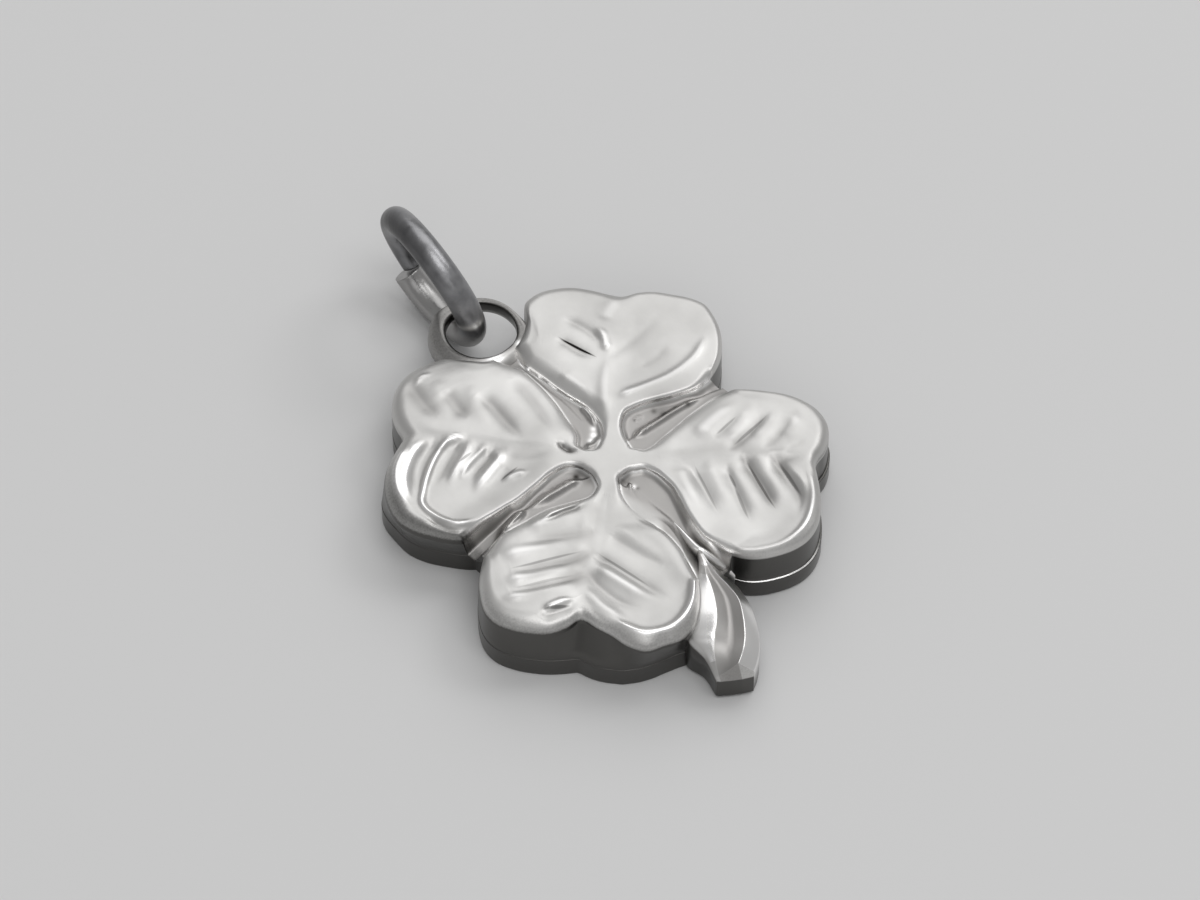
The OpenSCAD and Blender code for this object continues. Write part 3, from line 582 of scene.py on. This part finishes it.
def clover_rings():
    """Every ring of the casting as points in mm, and five maps: relief, polish with a painted highlight,
    painted floor shade, painted wall shade, and spots of painted shade and tarnish.
    """
    parts = []
    maps = []
    for k in range(4):
        for r, angle, z, *layers, reach in (leaf_columns(k), recess_columns(k)):
            front = np.stack([*flat(r, angle), z], axis=-1)
            foot = reach + read_table(FOOT_SHIFT, angle[-1] % 360)
            below = [(mix(reach, foot, share), mix(z[-1], WALL_FOOT, share)) for share in WALL_SHARES]
            ledge_share = 1 if k == 0 else 0.25
            below += [(foot + out * ledge_share, np.full_like(foot, height)) for out, height in PLATE_ROWS]
            walls = [np.stack([*flat(radius, angle[-1]), height], axis=-1) for radius, height in below]
            rows = np.concatenate([front, walls])
            parts.append(rows)
            shares = np.zeros((5, *rows.shape[:2]))
            shares[:3, :len(front)] = layers
            # the walls are painted with shade; the right leaf keeps a bright line at the top of its wall,
            # where its first row is left without that shade
            shares[3, len(front) + (k == 0):] = 1
            if k == 0:
                ledge = slice(len(front) + LEDGE_ROWS[0], len(front) + LEDGE_ROWS[1])
                x, y = rows[ledge, :, 0], rows[ledge, :, 1]
                # a painted highlight on the ledge towards the stem, painted shade on the rest of it
                shares[1, ledge] = smooth((5.2 - x) / 2.4) * smooth(-y - 4)
                shares[3, ledge] = 1 - shares[1, ledge]
            # painted shade on the rim where it rounds down towards the camera: on its low edge, and on a
            # wider band whose strength each leaf sets
            from_middle = front - np.array([*flat(LEAF_MIDDLE, LEAF_AXIS[k]), 0])
            facing = -from_middle @ AWAY / np.linalg.norm(from_middle[..., :2], axis=-1)
            low = smooth((THICKNESS - 0.28 - z) / 0.15)
            edge = smooth(facing + 0.6) * smooth((r - reach + 0.12) / 0.12) * low
            worn = RIM_SHADE[k] * smooth(facing * 1.6) * smooth((r - reach + 0.6) / 0.4)
            shares[3, :len(front)] = np.maximum(edge, worn)
            drawn = rows[..., 0] / UNIT, rows[..., 1] / UNIT
            # bright spots of painted highlight go into the polish map, dark spots of painted shade and
            # tarnish into their own
            shares[1] = np.maximum(shares[1], spots(*drawn, HIGHLIGHT_SPOTS))
            shares[4] = spots(*drawn, SHADE_AND_TARNISH_SPOTS)
            maps.append(shares)
    return np.concatenate(parts, axis=1), np.concatenate(maps, axis=2)


rings, shares = clover_rings()
print("rings and columns:", rings.shape[:2])


# %% Turn rings of points into a mesh
def add_object(name, data, position=(0, 0, 0), back=None):
    """Puts an object in the scene. A camera or light is turned by the way back from what it looks at."""
    obj = bpy.data.objects.new(name, data)
    obj.location = position
    if back is not None:
        obj.rotation_mode = "QUATERNION"
        obj.rotation_quaternion = back.to_track_quat("Z", "Y")
    bpy.context.scene.collection.objects.link(obj)
    return obj


def make_object(name, points, faces, attributes):
    """A smooth mesh from points in mm, with one number at each point for each attribute."""
    mesh = bpy.data.meshes.new(name)
    mesh.from_pydata((np.asarray(points) * MM).tolist(), [], faces)
    mesh.validate()
    mesh.polygons.foreach_set("use_smooth", [True] * len(mesh.polygons))
    for key, values in attributes.items():
        layer = mesh.attributes.new(key, "FLOAT", "POINT")
        layer.data.foreach_set("value", np.asarray(values, np.float32).ravel())
    print(name, "has", len(mesh.vertices), "points and", len(mesh.polygons), "faces")
    return add_object(name, mesh)


def tube_faces(rings, around, caps):
    """Quads between rings of points, and caps at none, the first or both of the ends.

    Without a cap the last ring is joined to the first."""
    faces = []
    for i in range(rings - (caps > 0)):
        here, there = i * around, (i + 1) % rings * around
        for j in range(around):
            following = (j + 1) % around
            faces.append([here + j, here + following, there + following, there + j])
    ends = [list(range(around))[::-1], [(rings - 1) * around + j for j in range(around)]]
    return faces + ends[:caps]


def web_faces(rings, around):
    """Faces of a closed web: a point first, then rings, then a last point."""
    quads = [[a + 1, d + 1, c + 1, b + 1] for a, b, c, d in tube_faces(rings, around, caps=1)[:-1]]
    outer = (rings - 1) * around
    first = [[0, 1 + j, 1 + (j + 1) % around] for j in range(around)]
    last = [[outer + around + 1, outer + 1 + (j + 1) % around, outer + 1 + j] for j in range(around)]
    return quads + first + last


points = np.vstack([[[0, 0, HUB_TOP]], rings.reshape(-1, 3), [[0, 0, 0]]])
relief, polish_and_highlight, low_shade_and_grey, wall, shade_and_tarnish = [np.concatenate([[0], layer.ravel(), [layer[-1, 0]]])
                                       for layer in shares]
# paint on the casting: a painted highlight on crests, painted shade in creases, lips with polish and a
# painted highlight, painted shade on floors and walls, and spots of painted shade and tarnish
clover = make_object("clover_casting", points, web_faces(*rings.shape[:2]),
                     {"low_shade_and_grey": low_shade_and_grey, "wall": wall, "crease": np.clip((-relief - 0.03) / 0.2, 0, 1),
                      "crest": np.clip((relief - 0.03) / 0.09, 0, 1), "polish_and_highlight": polish_and_highlight,
                      "shade_and_tarnish": shade_and_tarnish})

# %% [markdown]
# ## The stem
# The stem is a short stalk with a ridge along each side, painted with a highlight, a hollow panel between,
# painted with shade, and an end cut to a small roof-shaped face; its sides and the end below that face are
# painted with shade. It is lofted through cross-sections with slightly rounded corners, so that the ridges
# stay crisp and still catch the light as filed metal does.

# %% Loft the stem
# each section: foot by the leaf, left ridge, panel, right ridge and right edge, as x, y in tenths, z in mm
STEM = np.array([
    [[4.4, -46.5, 2.15], [4.4, -47.5, 2.2], [4.8, -47.5, 2.2], [5.2, -47.5, 2.2], [5.4, -47, 2.1]],
    [[1.8, -51, 2.15], [2.3, -53, 2.32], [3, -53.4, 2.3], [3.6, -53.6, 2.32], [4.6, -53, 2.1]],
    [[-1.6, -54.8, 2.15], [-0.2, -58, 2.3], [1.6, -58.4, 2.2], [3, -59.4, 2.25], [5.8, -60, 1.95]],
    [[-6, -57.2, 2.15], [-2.1, -63, 2.3], [1.2, -63.6, 2.08], [3.4, -65.6, 2.18], [7.3, -66, 1.8]],
    [[-12.5, -62, 2.15], [-4.6, -68, 2.3], [0, -69.6, 2], [2.9, -72.6, 2.15], [6.4, -74.2, 1.78]],
    [[-17.8, -67.4, 2.1], [-8.2, -73.6, 2.25], [-3.5, -76.2, 1.9], [-0.4, -79.5, 2.1], [3.1, -83.1, 1.7]],
    [[-20.6, -73.8, 1.88], [-13.2, -78.8, 2.1], [-7.7, -82.1, 1.82], [-4.4, -85.4, 2], [-1, -89.7, 1.6]],
    [[-18.8, -81.3, 1.45], [-16.5, -82.6, 1.75], [-12.2, -86.9, 1.75], [-8.4, -89.4, 1.92],
     [-4.6, -93.4, 1.5]],
    [[-20, -88.9, 1.18], [-19.3, -89.4, 1.25], [-16.1, -90.8, 1.52], [-12.3, -91.9, 1.8],
     [-8.2, -95.8, 1.35]],
])
STEM_END = np.array([[-20, -89.6, 1.08], [-19.3, -90.4, 1.08], [-15.7, -92.6, 1.08], [-12.3, -94.4, 1.08],
                     [-8.4, -96, 1.1]])
STEM_STEPS = 14
CORNERS = [0.5, 0.25, 0.5, 0.12, 0.12]


def softened(top):
    """A section from the floor up over its five points and down again, with rounded corners."""
    line = np.array([[*top[0][:2], STEM_LIFT], *top, [*top[-1][:2], STEM_LIFT]])
    out = [line[0]]
    for i, share in enumerate(CORNERS, 1):
        before, corner, after = line[i - 1:i + 2]
        enter, leave = mix(corner, before, share * 0.5), mix(corner, after, share * 0.5)
        out += [mix(mix(enter, corner, s), mix(corner, leave, s), s) for s in (0, 0.25, 0.5, 0.75, 1)]
    return np.array([*out, line[-1]])


def stem_rings():
    scale = np.array([UNIT, UNIT, 1])
    keys = STEM * scale
    rings = []
    for t in range((len(keys) - 1) * STEM_STEPS + 1):
        i = min(t // STEM_STEPS, len(keys) - 2)
        s = t / STEM_STEPS - i
        near = [keys[min(max(i + o, 0), len(keys) - 1)] for o in (-1, 0, 1, 2)]
        rings.append(softened(curve(*near, s)))
    end = softened(STEM_END * scale)
    last = rings[-1]
    rings += [mix(last, end, share) for share in (0.04, 0.5, 0.92, 1)]
    for height in (1.02, 0.6, 0.2, STEM_LIFT):
        rings.append(np.minimum(end, [99, 99, height]))
    return np.array(rings)


stem_web = stem_rings()
size = stem_web.shape[:2]
# A ring has a first floor point, 5 points round each of 5 corners and a last floor point. The last 4 rings
# are the cut end below its edge, and the 4 before them are its sloping face.
# painted shade on the sides and the cut end, painted shade in the hollow panel, a painted highlight on the
# ridges
wall, panel_shade, ridge_highlight = np.zeros((3, *size))
wall[-8:-4] = 0.15
wall[:, [0, 1, 2, -1]] = 1
wall[-4:] = 1
panel_shade[:, 11:17] = 1
panel_shade[:, 10] = panel_shade[:, 17] = 0.7
ridge_highlight[8:20, 6:20] = 1
ridge_highlight[30:-18, 6:10] = 1
ridge_highlight[4:-8, 18:26] = 0.7
stem = make_object("stem", stem_web.reshape(-1, 3), tube_faces(*size, caps=1),
                   {"wall": wall, "low_shade_and_grey": panel_shade, "crest": ridge_highlight, "polish_and_highlight": ridge_highlight * 0.6})

# %% [markdown]
# ## The line of solder
# Beside the stem a seam runs out of the recess to the corner of the back plate, where the stem was
# soldered on. It is a thin bar swept along a curve, half sunk in the casting, with a painted highlight
# along its crown and painted shade on its sides.

# %% Lay the line of solder beside the stem
# its points as x, y in tenths, z in mm and half its width in mm
SOLDER = np.array([
    [4.7, -33, 2.2, 0.04], [4.6, -37.5, 2.25, 0.09], [4.5, -42, 2.28, 0.12], [4.6, -46.5, 2.28, 0.14],
    [5.7, -49.3, 2.22, 0.14], [8.1, -53.3, 1.95, 0.13], [11, -56.3, 1.55, 0.12], [12.8, -58.6, 1.15, 0.08],
])
SOLDER_SECTION = np.array([[1.5, -0.5], [1.1, -0.2], [0.7, -0.06], [0, 0],
                           [-0.7, -0.06], [-1.1, -0.2], [-1.5, -0.5]])
run = bent(SOLDER, 8)
ahead = np.gradient(run[:, :2], axis=0)
ahead /= np.linalg.norm(ahead, axis=1, keepdims=True)
points = np.zeros((len(run), len(SOLDER_SECTION), 3))
points[..., 0] = run[:, None, 0] * UNIT + ahead[:, None, 1] * run[:, None, 3] * SOLDER_SECTION[:, 0]
points[..., 1] = run[:, None, 1] * UNIT - ahead[:, None, 0] * run[:, None, 3] * SOLDER_SECTION[:, 0]
points[..., 2] = run[:, None, 2] + SOLDER_SECTION[:, 1]
# a painted highlight along the crown of the bar, painted shade on its sides
solder = make_object("solder_line", points.reshape(-1, 3), tube_faces(*points.shape[:2], caps=2),
                     {"polish_and_highlight": np.tile([0, 0, 0.6, 1, 1, 0.6, 0], len(run)),
                      "wall": np.tile([0.6, 0.4, 0, 0, 0, 0, 0.2], len(run))})

# %% [markdown]
# ## The eyelet
# The eyelet is a flat loop with a rounded top and a thick inner wall painted dark with shade, soldered to
# the casting. It is a turned profile, as from a lathe, and its far side is filed down towards the hole.

# %% Turn the eyelet
TALL = EYELET_TOP - EYELET_LOW
OUTER = HOLE + RIM
EYELET_PROFILE = [
    [HOLE, EYELET_LOW + 0.65 * TALL], [HOLE, EYELET_LOW + 0.35 * TALL],
    [HOLE + 0.12, EYELET_LOW + 0.12 * TALL], [HOLE + 0.32, EYELET_LOW],
    [OUTER - 0.16, EYELET_LOW + 0.02], [OUTER, EYELET_LOW + 0.26 * TALL],
    [OUTER - 0.03, EYELET_LOW + 0.5 * TALL], [OUTER - 0.1, EYELET_LOW + 0.74 * TALL],
    [OUTER - 0.22, EYELET_TOP - 0.13], [OUTER - 0.36, EYELET_TOP - 0.04],
    [HOLE + 0.2, EYELET_TOP], [HOLE + 0.1, EYELET_TOP - 0.01], [HOLE + 0.03, EYELET_TOP - 0.04],
    [HOLE, EYELET_TOP - 0.1],
]


def eyelet_web(segments=144):
    """Points of the eyelet in mm, how much painted shade and grey oxide each of them gets, and how much
    polish with a painted highlight.
    """
    across, height = np.array(EYELET_PROFILE).T
    turn = np.arange(segments) / segments * 2 * np.pi
    out = np.stack([np.cos(turn), np.sin(turn), np.zeros(segments)], axis=-1)[:, None]
    thin = smooth((out @ (AWAY + 0.3 * RIGHT) - 0.1) / 0.8)
    radius = HOLE + (across - HOLE) * (1 - 0.62 * thin)
    points = np.array([*EYELET, 0]) + out * radius[..., None] + UP * height[:, None]
    far = smooth(0.5 + out @ (AWAY + 0.4 * RIGHT))
    inward = smooth((OUTER - 0.12 - across) / 0.3)
    high = smooth((height - EYELET_LOW) / TALL * 2 - 1)
    points[..., 2] -= 0.22 * far * inward * high
    # painted shade in the hole and on the filed far side, a grey oxide on the left, and spots of polish
    # with a painted highlight on the rim
    hole = across < HOLE + 0.05
    left = smooth(0.6 - out @ (RIGHT - 0.3 * AWAY))
    oxidised = np.maximum(hole * 0.95, np.maximum(far * inward * 0.6, left * 0.45))
    polished_highlight = np.zeros(points.shape[:2])
    for right, away, size in ((0.35, -0.93, 0.26), (0.9, -0.4, 0.1)):
        gap = np.linalg.norm(out - (right * RIGHT + away * AWAY) / np.hypot(right, away), axis=-1)
        polished_highlight = np.maximum(polished_highlight, np.exp(-(gap / size) ** 2) * (across < HOLE + 0.35))
    return points, oxidised * (1 - polished_highlight), polished_highlight


points, oxidised, polished_highlight = eyelet_web()
# the last map gives the whole eyelet a grey tone of its own
eyelet = make_object("eyelet", points.reshape(-1, 3), tube_faces(*points.shape[:2], caps=0),
                     {"wall": oxidised, "polish_and_highlight": polished_highlight, "low_shade_and_grey": np.full(oxidised.size, 0.7)})

# %% [markdown]
# ## The jump ring
# The ring is round wire bent to a circle and sawn open. Its two halves are twisted a little apart at the
# cut, as a ring is opened with two pliers, and the lower one is sprung further out than in the packed
# model. They meet at the near end, which stands in the eyelet.

# %% Bend the jump ring, in mm
WIRE = 1.05
RING = 2.44
RING_LEAN = 11.9
RING_TURN = -1.3
RING_TWIST = 2
RING_SPRUNG = 1.4
CUT_ANGLE = 42
CUT_WIDTH = 0.12
RING_CENTRE = (-0.17, 10.15, 2.942)
ALONG = 120
ROUND = 40


def turn_about(axis, degrees):
    """A matrix that turns points about x, y or z."""
    c, s = np.cos(np.radians(degrees)), np.sin(np.radians(degrees))
    i, j = [(1, 2), (2, 0), (0, 1)][axis]
    matrix = np.eye(3)
    matrix[i, i] = matrix[j, j] = c
    matrix[i, j], matrix[j, i] = -s, s
    return matrix


def half_ring(side, twist):
    """Points of half a ring in mm, from its cut end to the far end: rings of points round the wire."""
    gap = np.degrees(CUT_WIDTH / 2 / RING)
    bend = np.radians(mix(gap, 180, np.arange(ALONG + 1) / ALONG)) * -side
    bend = np.concatenate([[bend[0]] * 3, bend])
    size = np.concatenate([[0.02, 0.8, 0.94, 0.99], np.ones(ALONG)]) * WIRE / 2
    v = np.arange(ROUND) / ROUND * 2 * np.pi
    radius = RING + size[:, None] * np.cos(v)
    points = np.stack([radius * np.cos(bend)[:, None], radius * np.sin(bend)[:, None],
                       size[:, None] * np.sin(v)], axis=-1)
    hinge = np.array([-RING, 0, 0])
    points = (points - hinge) @ turn_about(1, twist).T + hinge
    place = (turn_about(2, RING_TURN) @ turn_about(1, -RING_LEAN) @ turn_about(2, 90) @ turn_about(0, 90)
             @ turn_about(2, -CUT_ANGLE))
    return points @ place.T + np.array(RING_CENTRE)


upper = half_ring(-1, -RING_TWIST)
lower = half_ring(1, RING_TWIST + RING_SPRUNG)
print("cut ends are", round(float(np.linalg.norm(upper[0].mean(0) - lower[0].mean(0))), 2), "mm apart")
wire = np.concatenate([upper, lower[-2::-1]])
# the painted highlight along the back of the wire, the band worn by the eyelet, painted shade on its left
# side and the lighter half, placed along the wire
along = np.linspace(0, 1, len(wire))[:, None]
facing = wire - wire.mean(axis=1, keepdims=True)
facing /= np.linalg.norm(facing, axis=-1, keepdims=True)
lit = 1.2 * np.exp(-((along - 0.2) / 0.085) ** 2) * np.clip(facing @ (0.6 * RIGHT + 0.8 * UP), 0, 1) ** 8
upper_side = np.clip(facing @ (0.8 * UP - 0.6 * AWAY) + 0.3, 0, 1)
rubbed = 1.3 * upper_side * np.exp(-((along - 0.599) / 0.008) ** 2)
painted_shade = np.clip(-facing @ RIGHT - 0.05, 0, 1) * (along < 0.6)
lighter_half = np.broadcast_to(smooth((along - 0.62) / 0.04), painted_shade.shape)
ring = make_object("wire_ring", wire.reshape(-1, 3), tube_faces(len(wire), ROUND, caps=2),
                   {"lighter_half": lighter_half, "worn": lit + rubbed, "painted_shade": painted_shade})

# %% [markdown]
# ## Building materials from nodes
# Every finish is a small tree of nodes, so it stays sharp at any distance. Colours are sRGB hex values, as
# read from a colour card, and are turned to the linear values that Blender mixes.


# %% Helpers for materials
def from_hex(code):
    """An sRGB hex colour as the linear colour Blender works in."""
    values = [int(code[i:i + 2], 16) / 255 for i in (1, 3, 5)]
    linear = [v / 12.92 if v <= 0.04045 else ((v + 0.055) / 1.055) ** 2.4 for v in values]
    return (*linear, 1)


def add_node(tree, kind, settings=None, links=None, give=0):
    """Adds one node, sets its inputs and properties, joins sockets to its inputs and gives one output."""
    node = tree.nodes.new("ShaderNode" + kind)
    for key, value in (settings or {}).items():
        if isinstance(key, int) or key in node.inputs:
            node.inputs[key].default_value = value
        else:
            setattr(node, key, value)
    for key, socket in (links or {}).items():
        tree.links.new(socket, node.inputs[key])
    return node.outputs[give] if node.outputs else None


def new_material(name):
    material = bpy.data.materials.new(name)
    material.use_nodes = True
    tree = material.node_tree
    tree.nodes.clear()
    return material, tree


def lay_colours(tree, tone, layers):
    """Lays colours over a tone one after another, each as far as its map says."""
    for colour, share in layers:
        tone = add_node(tree, "Mix", {"data_type": "RGBA", 7: from_hex(colour)},
                        {"Factor": share, 6: tone}, 2)
    return tone


def close_tree(tree, settings, links=None):
    """Ends a material: its surface, with these settings and links, goes to the output."""
    surface = add_node(tree, "BsdfPrincipled", settings, links)
    add_node(tree, "OutputMaterial", links={"Surface": surface})


# %% [markdown]
# ## Satin cast silver
# Silver straight from the mould is frosted white, and a short tumble with fine media leaves it satin:
# bright but blurred, so it shows soft pools of light and no mirror image. The crests and lips are polished
# to a lower roughness and painted with a highlight, and the walls, creases and low places are painted with
# shade, with some tarnish in dark spots. Points of the mesh carry these shares, and noise breaks them up.
# Roughness is 0.4 to 0.5 where the metal is satin.

# %% Tones of the satin silver
silver, tree = new_material("satin cast silver")
spot = {"Vector": add_node(tree, "TexCoord", give="Object")}
low_shade_map, wall_shade_map, crease_shade_map, crest_map, polish_and_highlight_map, shade_and_tarnish_map = [
    add_node(tree, "Attribute", {"attribute_name": name}, give="Fac")
    for name in ("low_shade_and_grey", "wall", "crease", "crest", "polish_and_highlight", "shade_and_tarnish")]
# blotches of 3 mm and 1 mm left by uneven tumbling, the satin grain of 0.1 mm, drawn coarser than the real
# 0.02 mm so that it shows, and grit of 0.07 mm that breaks up the painted wall shade where it fades out
# over a worn rim
drift, cloud, grain, grit = [add_node(tree, "TexNoise", {"Scale": scale, "Detail": detail}, spot, "Fac")
                             for scale, detail in ((350, 4), (900, 3), (9000, 4), (14000, 5))]
patchy = add_node(tree, "Math", {"operation": "MULTIPLY_ADD", 1: 0.5, 2: -0.25}, {0: grit})
patchy = add_node(tree, "Math", {"operation": "ADD"}, {0: patchy, 1: wall_shade_map})
wall_shade_map = add_node(tree, "MapRange", {"From Min": 0.1, "From Max": 0.9}, {"Value": patchy})
uneven = add_node(tree, "MapRange", {"From Min": 0.35, "From Max": 0.65}, {"Value": drift})
tone = add_node(tree, "Mix", {"data_type": "RGBA", 6: from_hex("#C3C2C0"), 7: from_hex("#D8D7D5")},
                {"Factor": uneven}, 2)
# painted highlight on crests and polished lips, painted shade in creases, on recess floors and on walls,
# and dark spots of painted shade and tarnish
tone = lay_colours(tree, tone, [
    ("#FCFBFA", crest_map), ("#868482", crease_shade_map), ("#A9A7A5", low_shade_map), ("#FCFBFA", polish_and_highlight_map),
    ("#5C5B59", wall_shade_map), ("#3E3B38", shade_and_tarnish_map)])

# %% Painted shade in the deepest creases, as long thin dark spots
# middle x, y, half length and half width in tenths of mm, turn in degrees, darkness. The first is a nick.
FOLDS = [
    (21.8, 45.5, 9.3, 0.6, -71, 1), (37.7, -41.3, 12.8, 0.7, 78, 0.7), (30.8, -33.7, 4, 0.6, 74, 0.45),
    (27.4, -43.2, 8.4, 0.7, 71, 0.4), (21.2, -30.6, 12, 0.6, 75, 0.3), (47.6, -45.2, 9.9, 0.8, 80, 0.45),
    (48.6, -21.3, 9.9, 0.7, 8, 0.45), (42.9, -14.6, 6, 0.6, 9, 0.35), (-25, -8.4, 9.9, 0.7, -8, 0.5),
    (-43.2, -21.3, 14.6, 0.6, -20, 0.4), (-48.9, -28.2, 12, 0.6, -21, 0.25),
    (-52.2, -39.5, 5.4, 0.7, -27, 0.6), (-23.3, -40.4, 12.9, 0.6, -75, 0.4),
    (-30.6, 16.9, 4.9, 0.6, 7, 0.5), (-38.9, 31.8, 3.6, 0.6, 8, 0.45),
]
for x, y, length, width, turn, painted_shade in FOLDS:
    middle, stretch = [Vector(v) * UNIT * MM for v in ((x, y, 26), (length, width, 10))]
    fold = add_node(tree, "Mapping", {"vector_type": "TEXTURE", "Location": middle,
                                      "Rotation": (0, 0, np.radians(turn)), "Scale": stretch}, spot)
    fold = add_node(tree, "TexGradient", {"gradient_type": "SPHERICAL"}, {"Vector": fold}, "Fac")
    fold = add_node(tree, "MapRange", {"From Min": 0.05, "From Max": 0.4, "To Max": painted_shade}, {"Value": fold})
    tone = lay_colours(tree, tone, [("#2A2826", fold)])

# %% Sheen and grain of the satin silver
rough = add_node(tree, "MapRange", {"To Min": 0.4, "To Max": 0.5}, {"Value": cloud})
for roughness, share in ((0.26, crest_map), (0.24, polish_and_highlight_map), (0.3, wall_shade_map)):
    rough = add_node(tree, "Mix", {"data_type": "FLOAT", 3: roughness}, {"Factor": share, 2: rough})
bump = add_node(tree, "Bump", {"Strength": 0.12, "Distance": 0.02 * MM}, {"Height": grain})
# the metal keeps its default IOR
close_tree(tree, {"Metallic": 1}, {"Base Color": tone, "Roughness": rough, "Normal": bump})

# %% [markdown]
# ## Oxidised silver wire
# The ring was dipped in an oxidising bath, which turns silver dark grey, and then rubbed by the eyelet. So
# it is dull grey with cloudy patches and pits and a bright band where it hangs in the eyelet. A painted
# highlight runs along the back of the wire, painted shade darkens its left side, and the half beyond the
# cut is lighter.

# %% Oxidised silver wire
oxide, tree = new_material("oxidised silver wire")
spot = {"Vector": add_node(tree, "TexCoord", give="Object")}
lighter_half_map, worn_map, painted_shade_map = [add_node(tree, "Attribute", {"attribute_name": name}, give="Fac")
                                for name in ("lighter_half", "worn", "painted_shade")]
# cloudy patches of 0.8 mm and pits of 0.15 mm
cloud = add_node(tree, "TexNoise", {"Scale": 1300, "Detail": 5}, spot, "Fac")
fine = add_node(tree, "TexNoise", {"Scale": 7000, "Detail": 4}, spot, "Fac")
cloudy = add_node(tree, "MapRange", {"From Min": 0.35, "From Max": 0.65}, {"Value": cloud})
pits = add_node(tree, "MapRange", {"From Min": 0.7, "From Max": 0.8}, {"Value": fine})
tone = add_node(tree, "Mix", {"data_type": "RGBA", 6: from_hex("#868688"), 7: from_hex("#A4A4A6")},
                {"Factor": cloudy}, 2)
# painted shade on the left side, the lighter half, a painted highlight with the band worn by the eyelet,
# and pits
tone = lay_colours(tree, tone, [
    ("#343333", painted_shade_map), ("#A5A4A3", lighter_half_map), ("#F4F3F1", worn_map), ("#3A3836", pits)])
rough = add_node(tree, "MapRange", {"To Min": 0.28, "To Max": 0.4}, {"Value": cloudy})
bump = add_node(tree, "Bump", {"Strength": 0.25, "Distance": 0.03 * MM}, {"Height": fine})
close_tree(tree, {"Metallic": 1}, {"Base Color": tone, "Roughness": rough, "Normal": bump})

# %% Give each piece its finish and its place in the model
for piece in (clover, stem, solder, eyelet):
    piece.data.materials.append(silver)
    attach(piece, "root")
    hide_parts("clover")
ring.data.materials.append(oxide)
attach(ring, "root")
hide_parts("jump_ring")

# %% [markdown]
# ## Floor, camera and lights
# A sheet of pale paper shows the outline and takes a soft shadow. The camera looks down at 55 degrees from
# 200 mm with a long lens, as for a small thing on a table. Silver shows what it reflects, so the lights
# are wide softboxes: one beyond the object for the flat tops, one overhead for the crests, one behind the
# camera for the near slopes, and a small one at the right for the far edges.

# %% Floor
# it lies 0.02 mm low, clear of the flat back
FLOOR = -0.02 * MM
bpy.ops.mesh.primitive_plane_add(size=1.2, location=(0, 0, FLOOR))
floor = bpy.context.object
floor.name = "floor"
paper, tree = new_material("pale paper floor")
close_tree(tree, {"Base Color": from_hex("#D8D8D8"), "Roughness": 0.7})
floor.data.materials.append(paper)

# %% Camera
TARGET = Vector((0.16, 0.57, 2.5)) * MM
BACK = Vector((-0.3492, -0.4551, 0.8192)).normalized()
DISTANCE = 200 * MM
camera_data = bpy.data.cameras.new("camera")
camera_data.lens = 168
camera_data.sensor_width = 36
camera_data.clip_start = 0.01
bpy.context.scene.camera = add_object("camera", camera_data, TARGET + BACK * DISTANCE, BACK)


# %% Lights
def softbox(name, position, width, height, radiance):
    """A rectangular light aimed at the middle. The radiance is how bright its face looks."""
    data = bpy.data.lights.new(name, "AREA")
    data.shape = "RECTANGLE"
    data.size = width
    data.size_y = height
    data.energy = radiance * np.pi * width * height
    add_object(name, data, position, position)


def towards(elevation, turn):
    """A direction, in degrees over the far horizon (past 90 it leans to the camera) and to the right."""
    e, t = np.radians(elevation), np.radians(turn)
    return Vector((AWAY * np.cos(t) + RIGHT * np.sin(t)) * np.cos(e) + UP * np.sin(e))


softbox("far softbox", towards(50, 10) * 0.4, 0.4, 0.34, 0.98)
softbox("key softbox", towards(104, 0) * 0.4 + Vector(RIGHT) * 0.06, 0.26, 0.2, 2.3)
softbox("fill softbox", towards(140, 0) * 0.5, 0.4, 0.2, 0.55)
softbox("right softbox", towards(48, 60) * 0.5, 0.16, 0.16, 3)
world = bpy.data.worlds.new("studio")
world.use_nodes = True
glow = world.node_tree.nodes["Background"].inputs
glow["Color"].default_value = from_hex("#FFFFFF")
glow["Strength"].default_value = 0.38
bpy.context.scene.world = world
bpy.context.scene.view_settings.view_transform = "Standard"
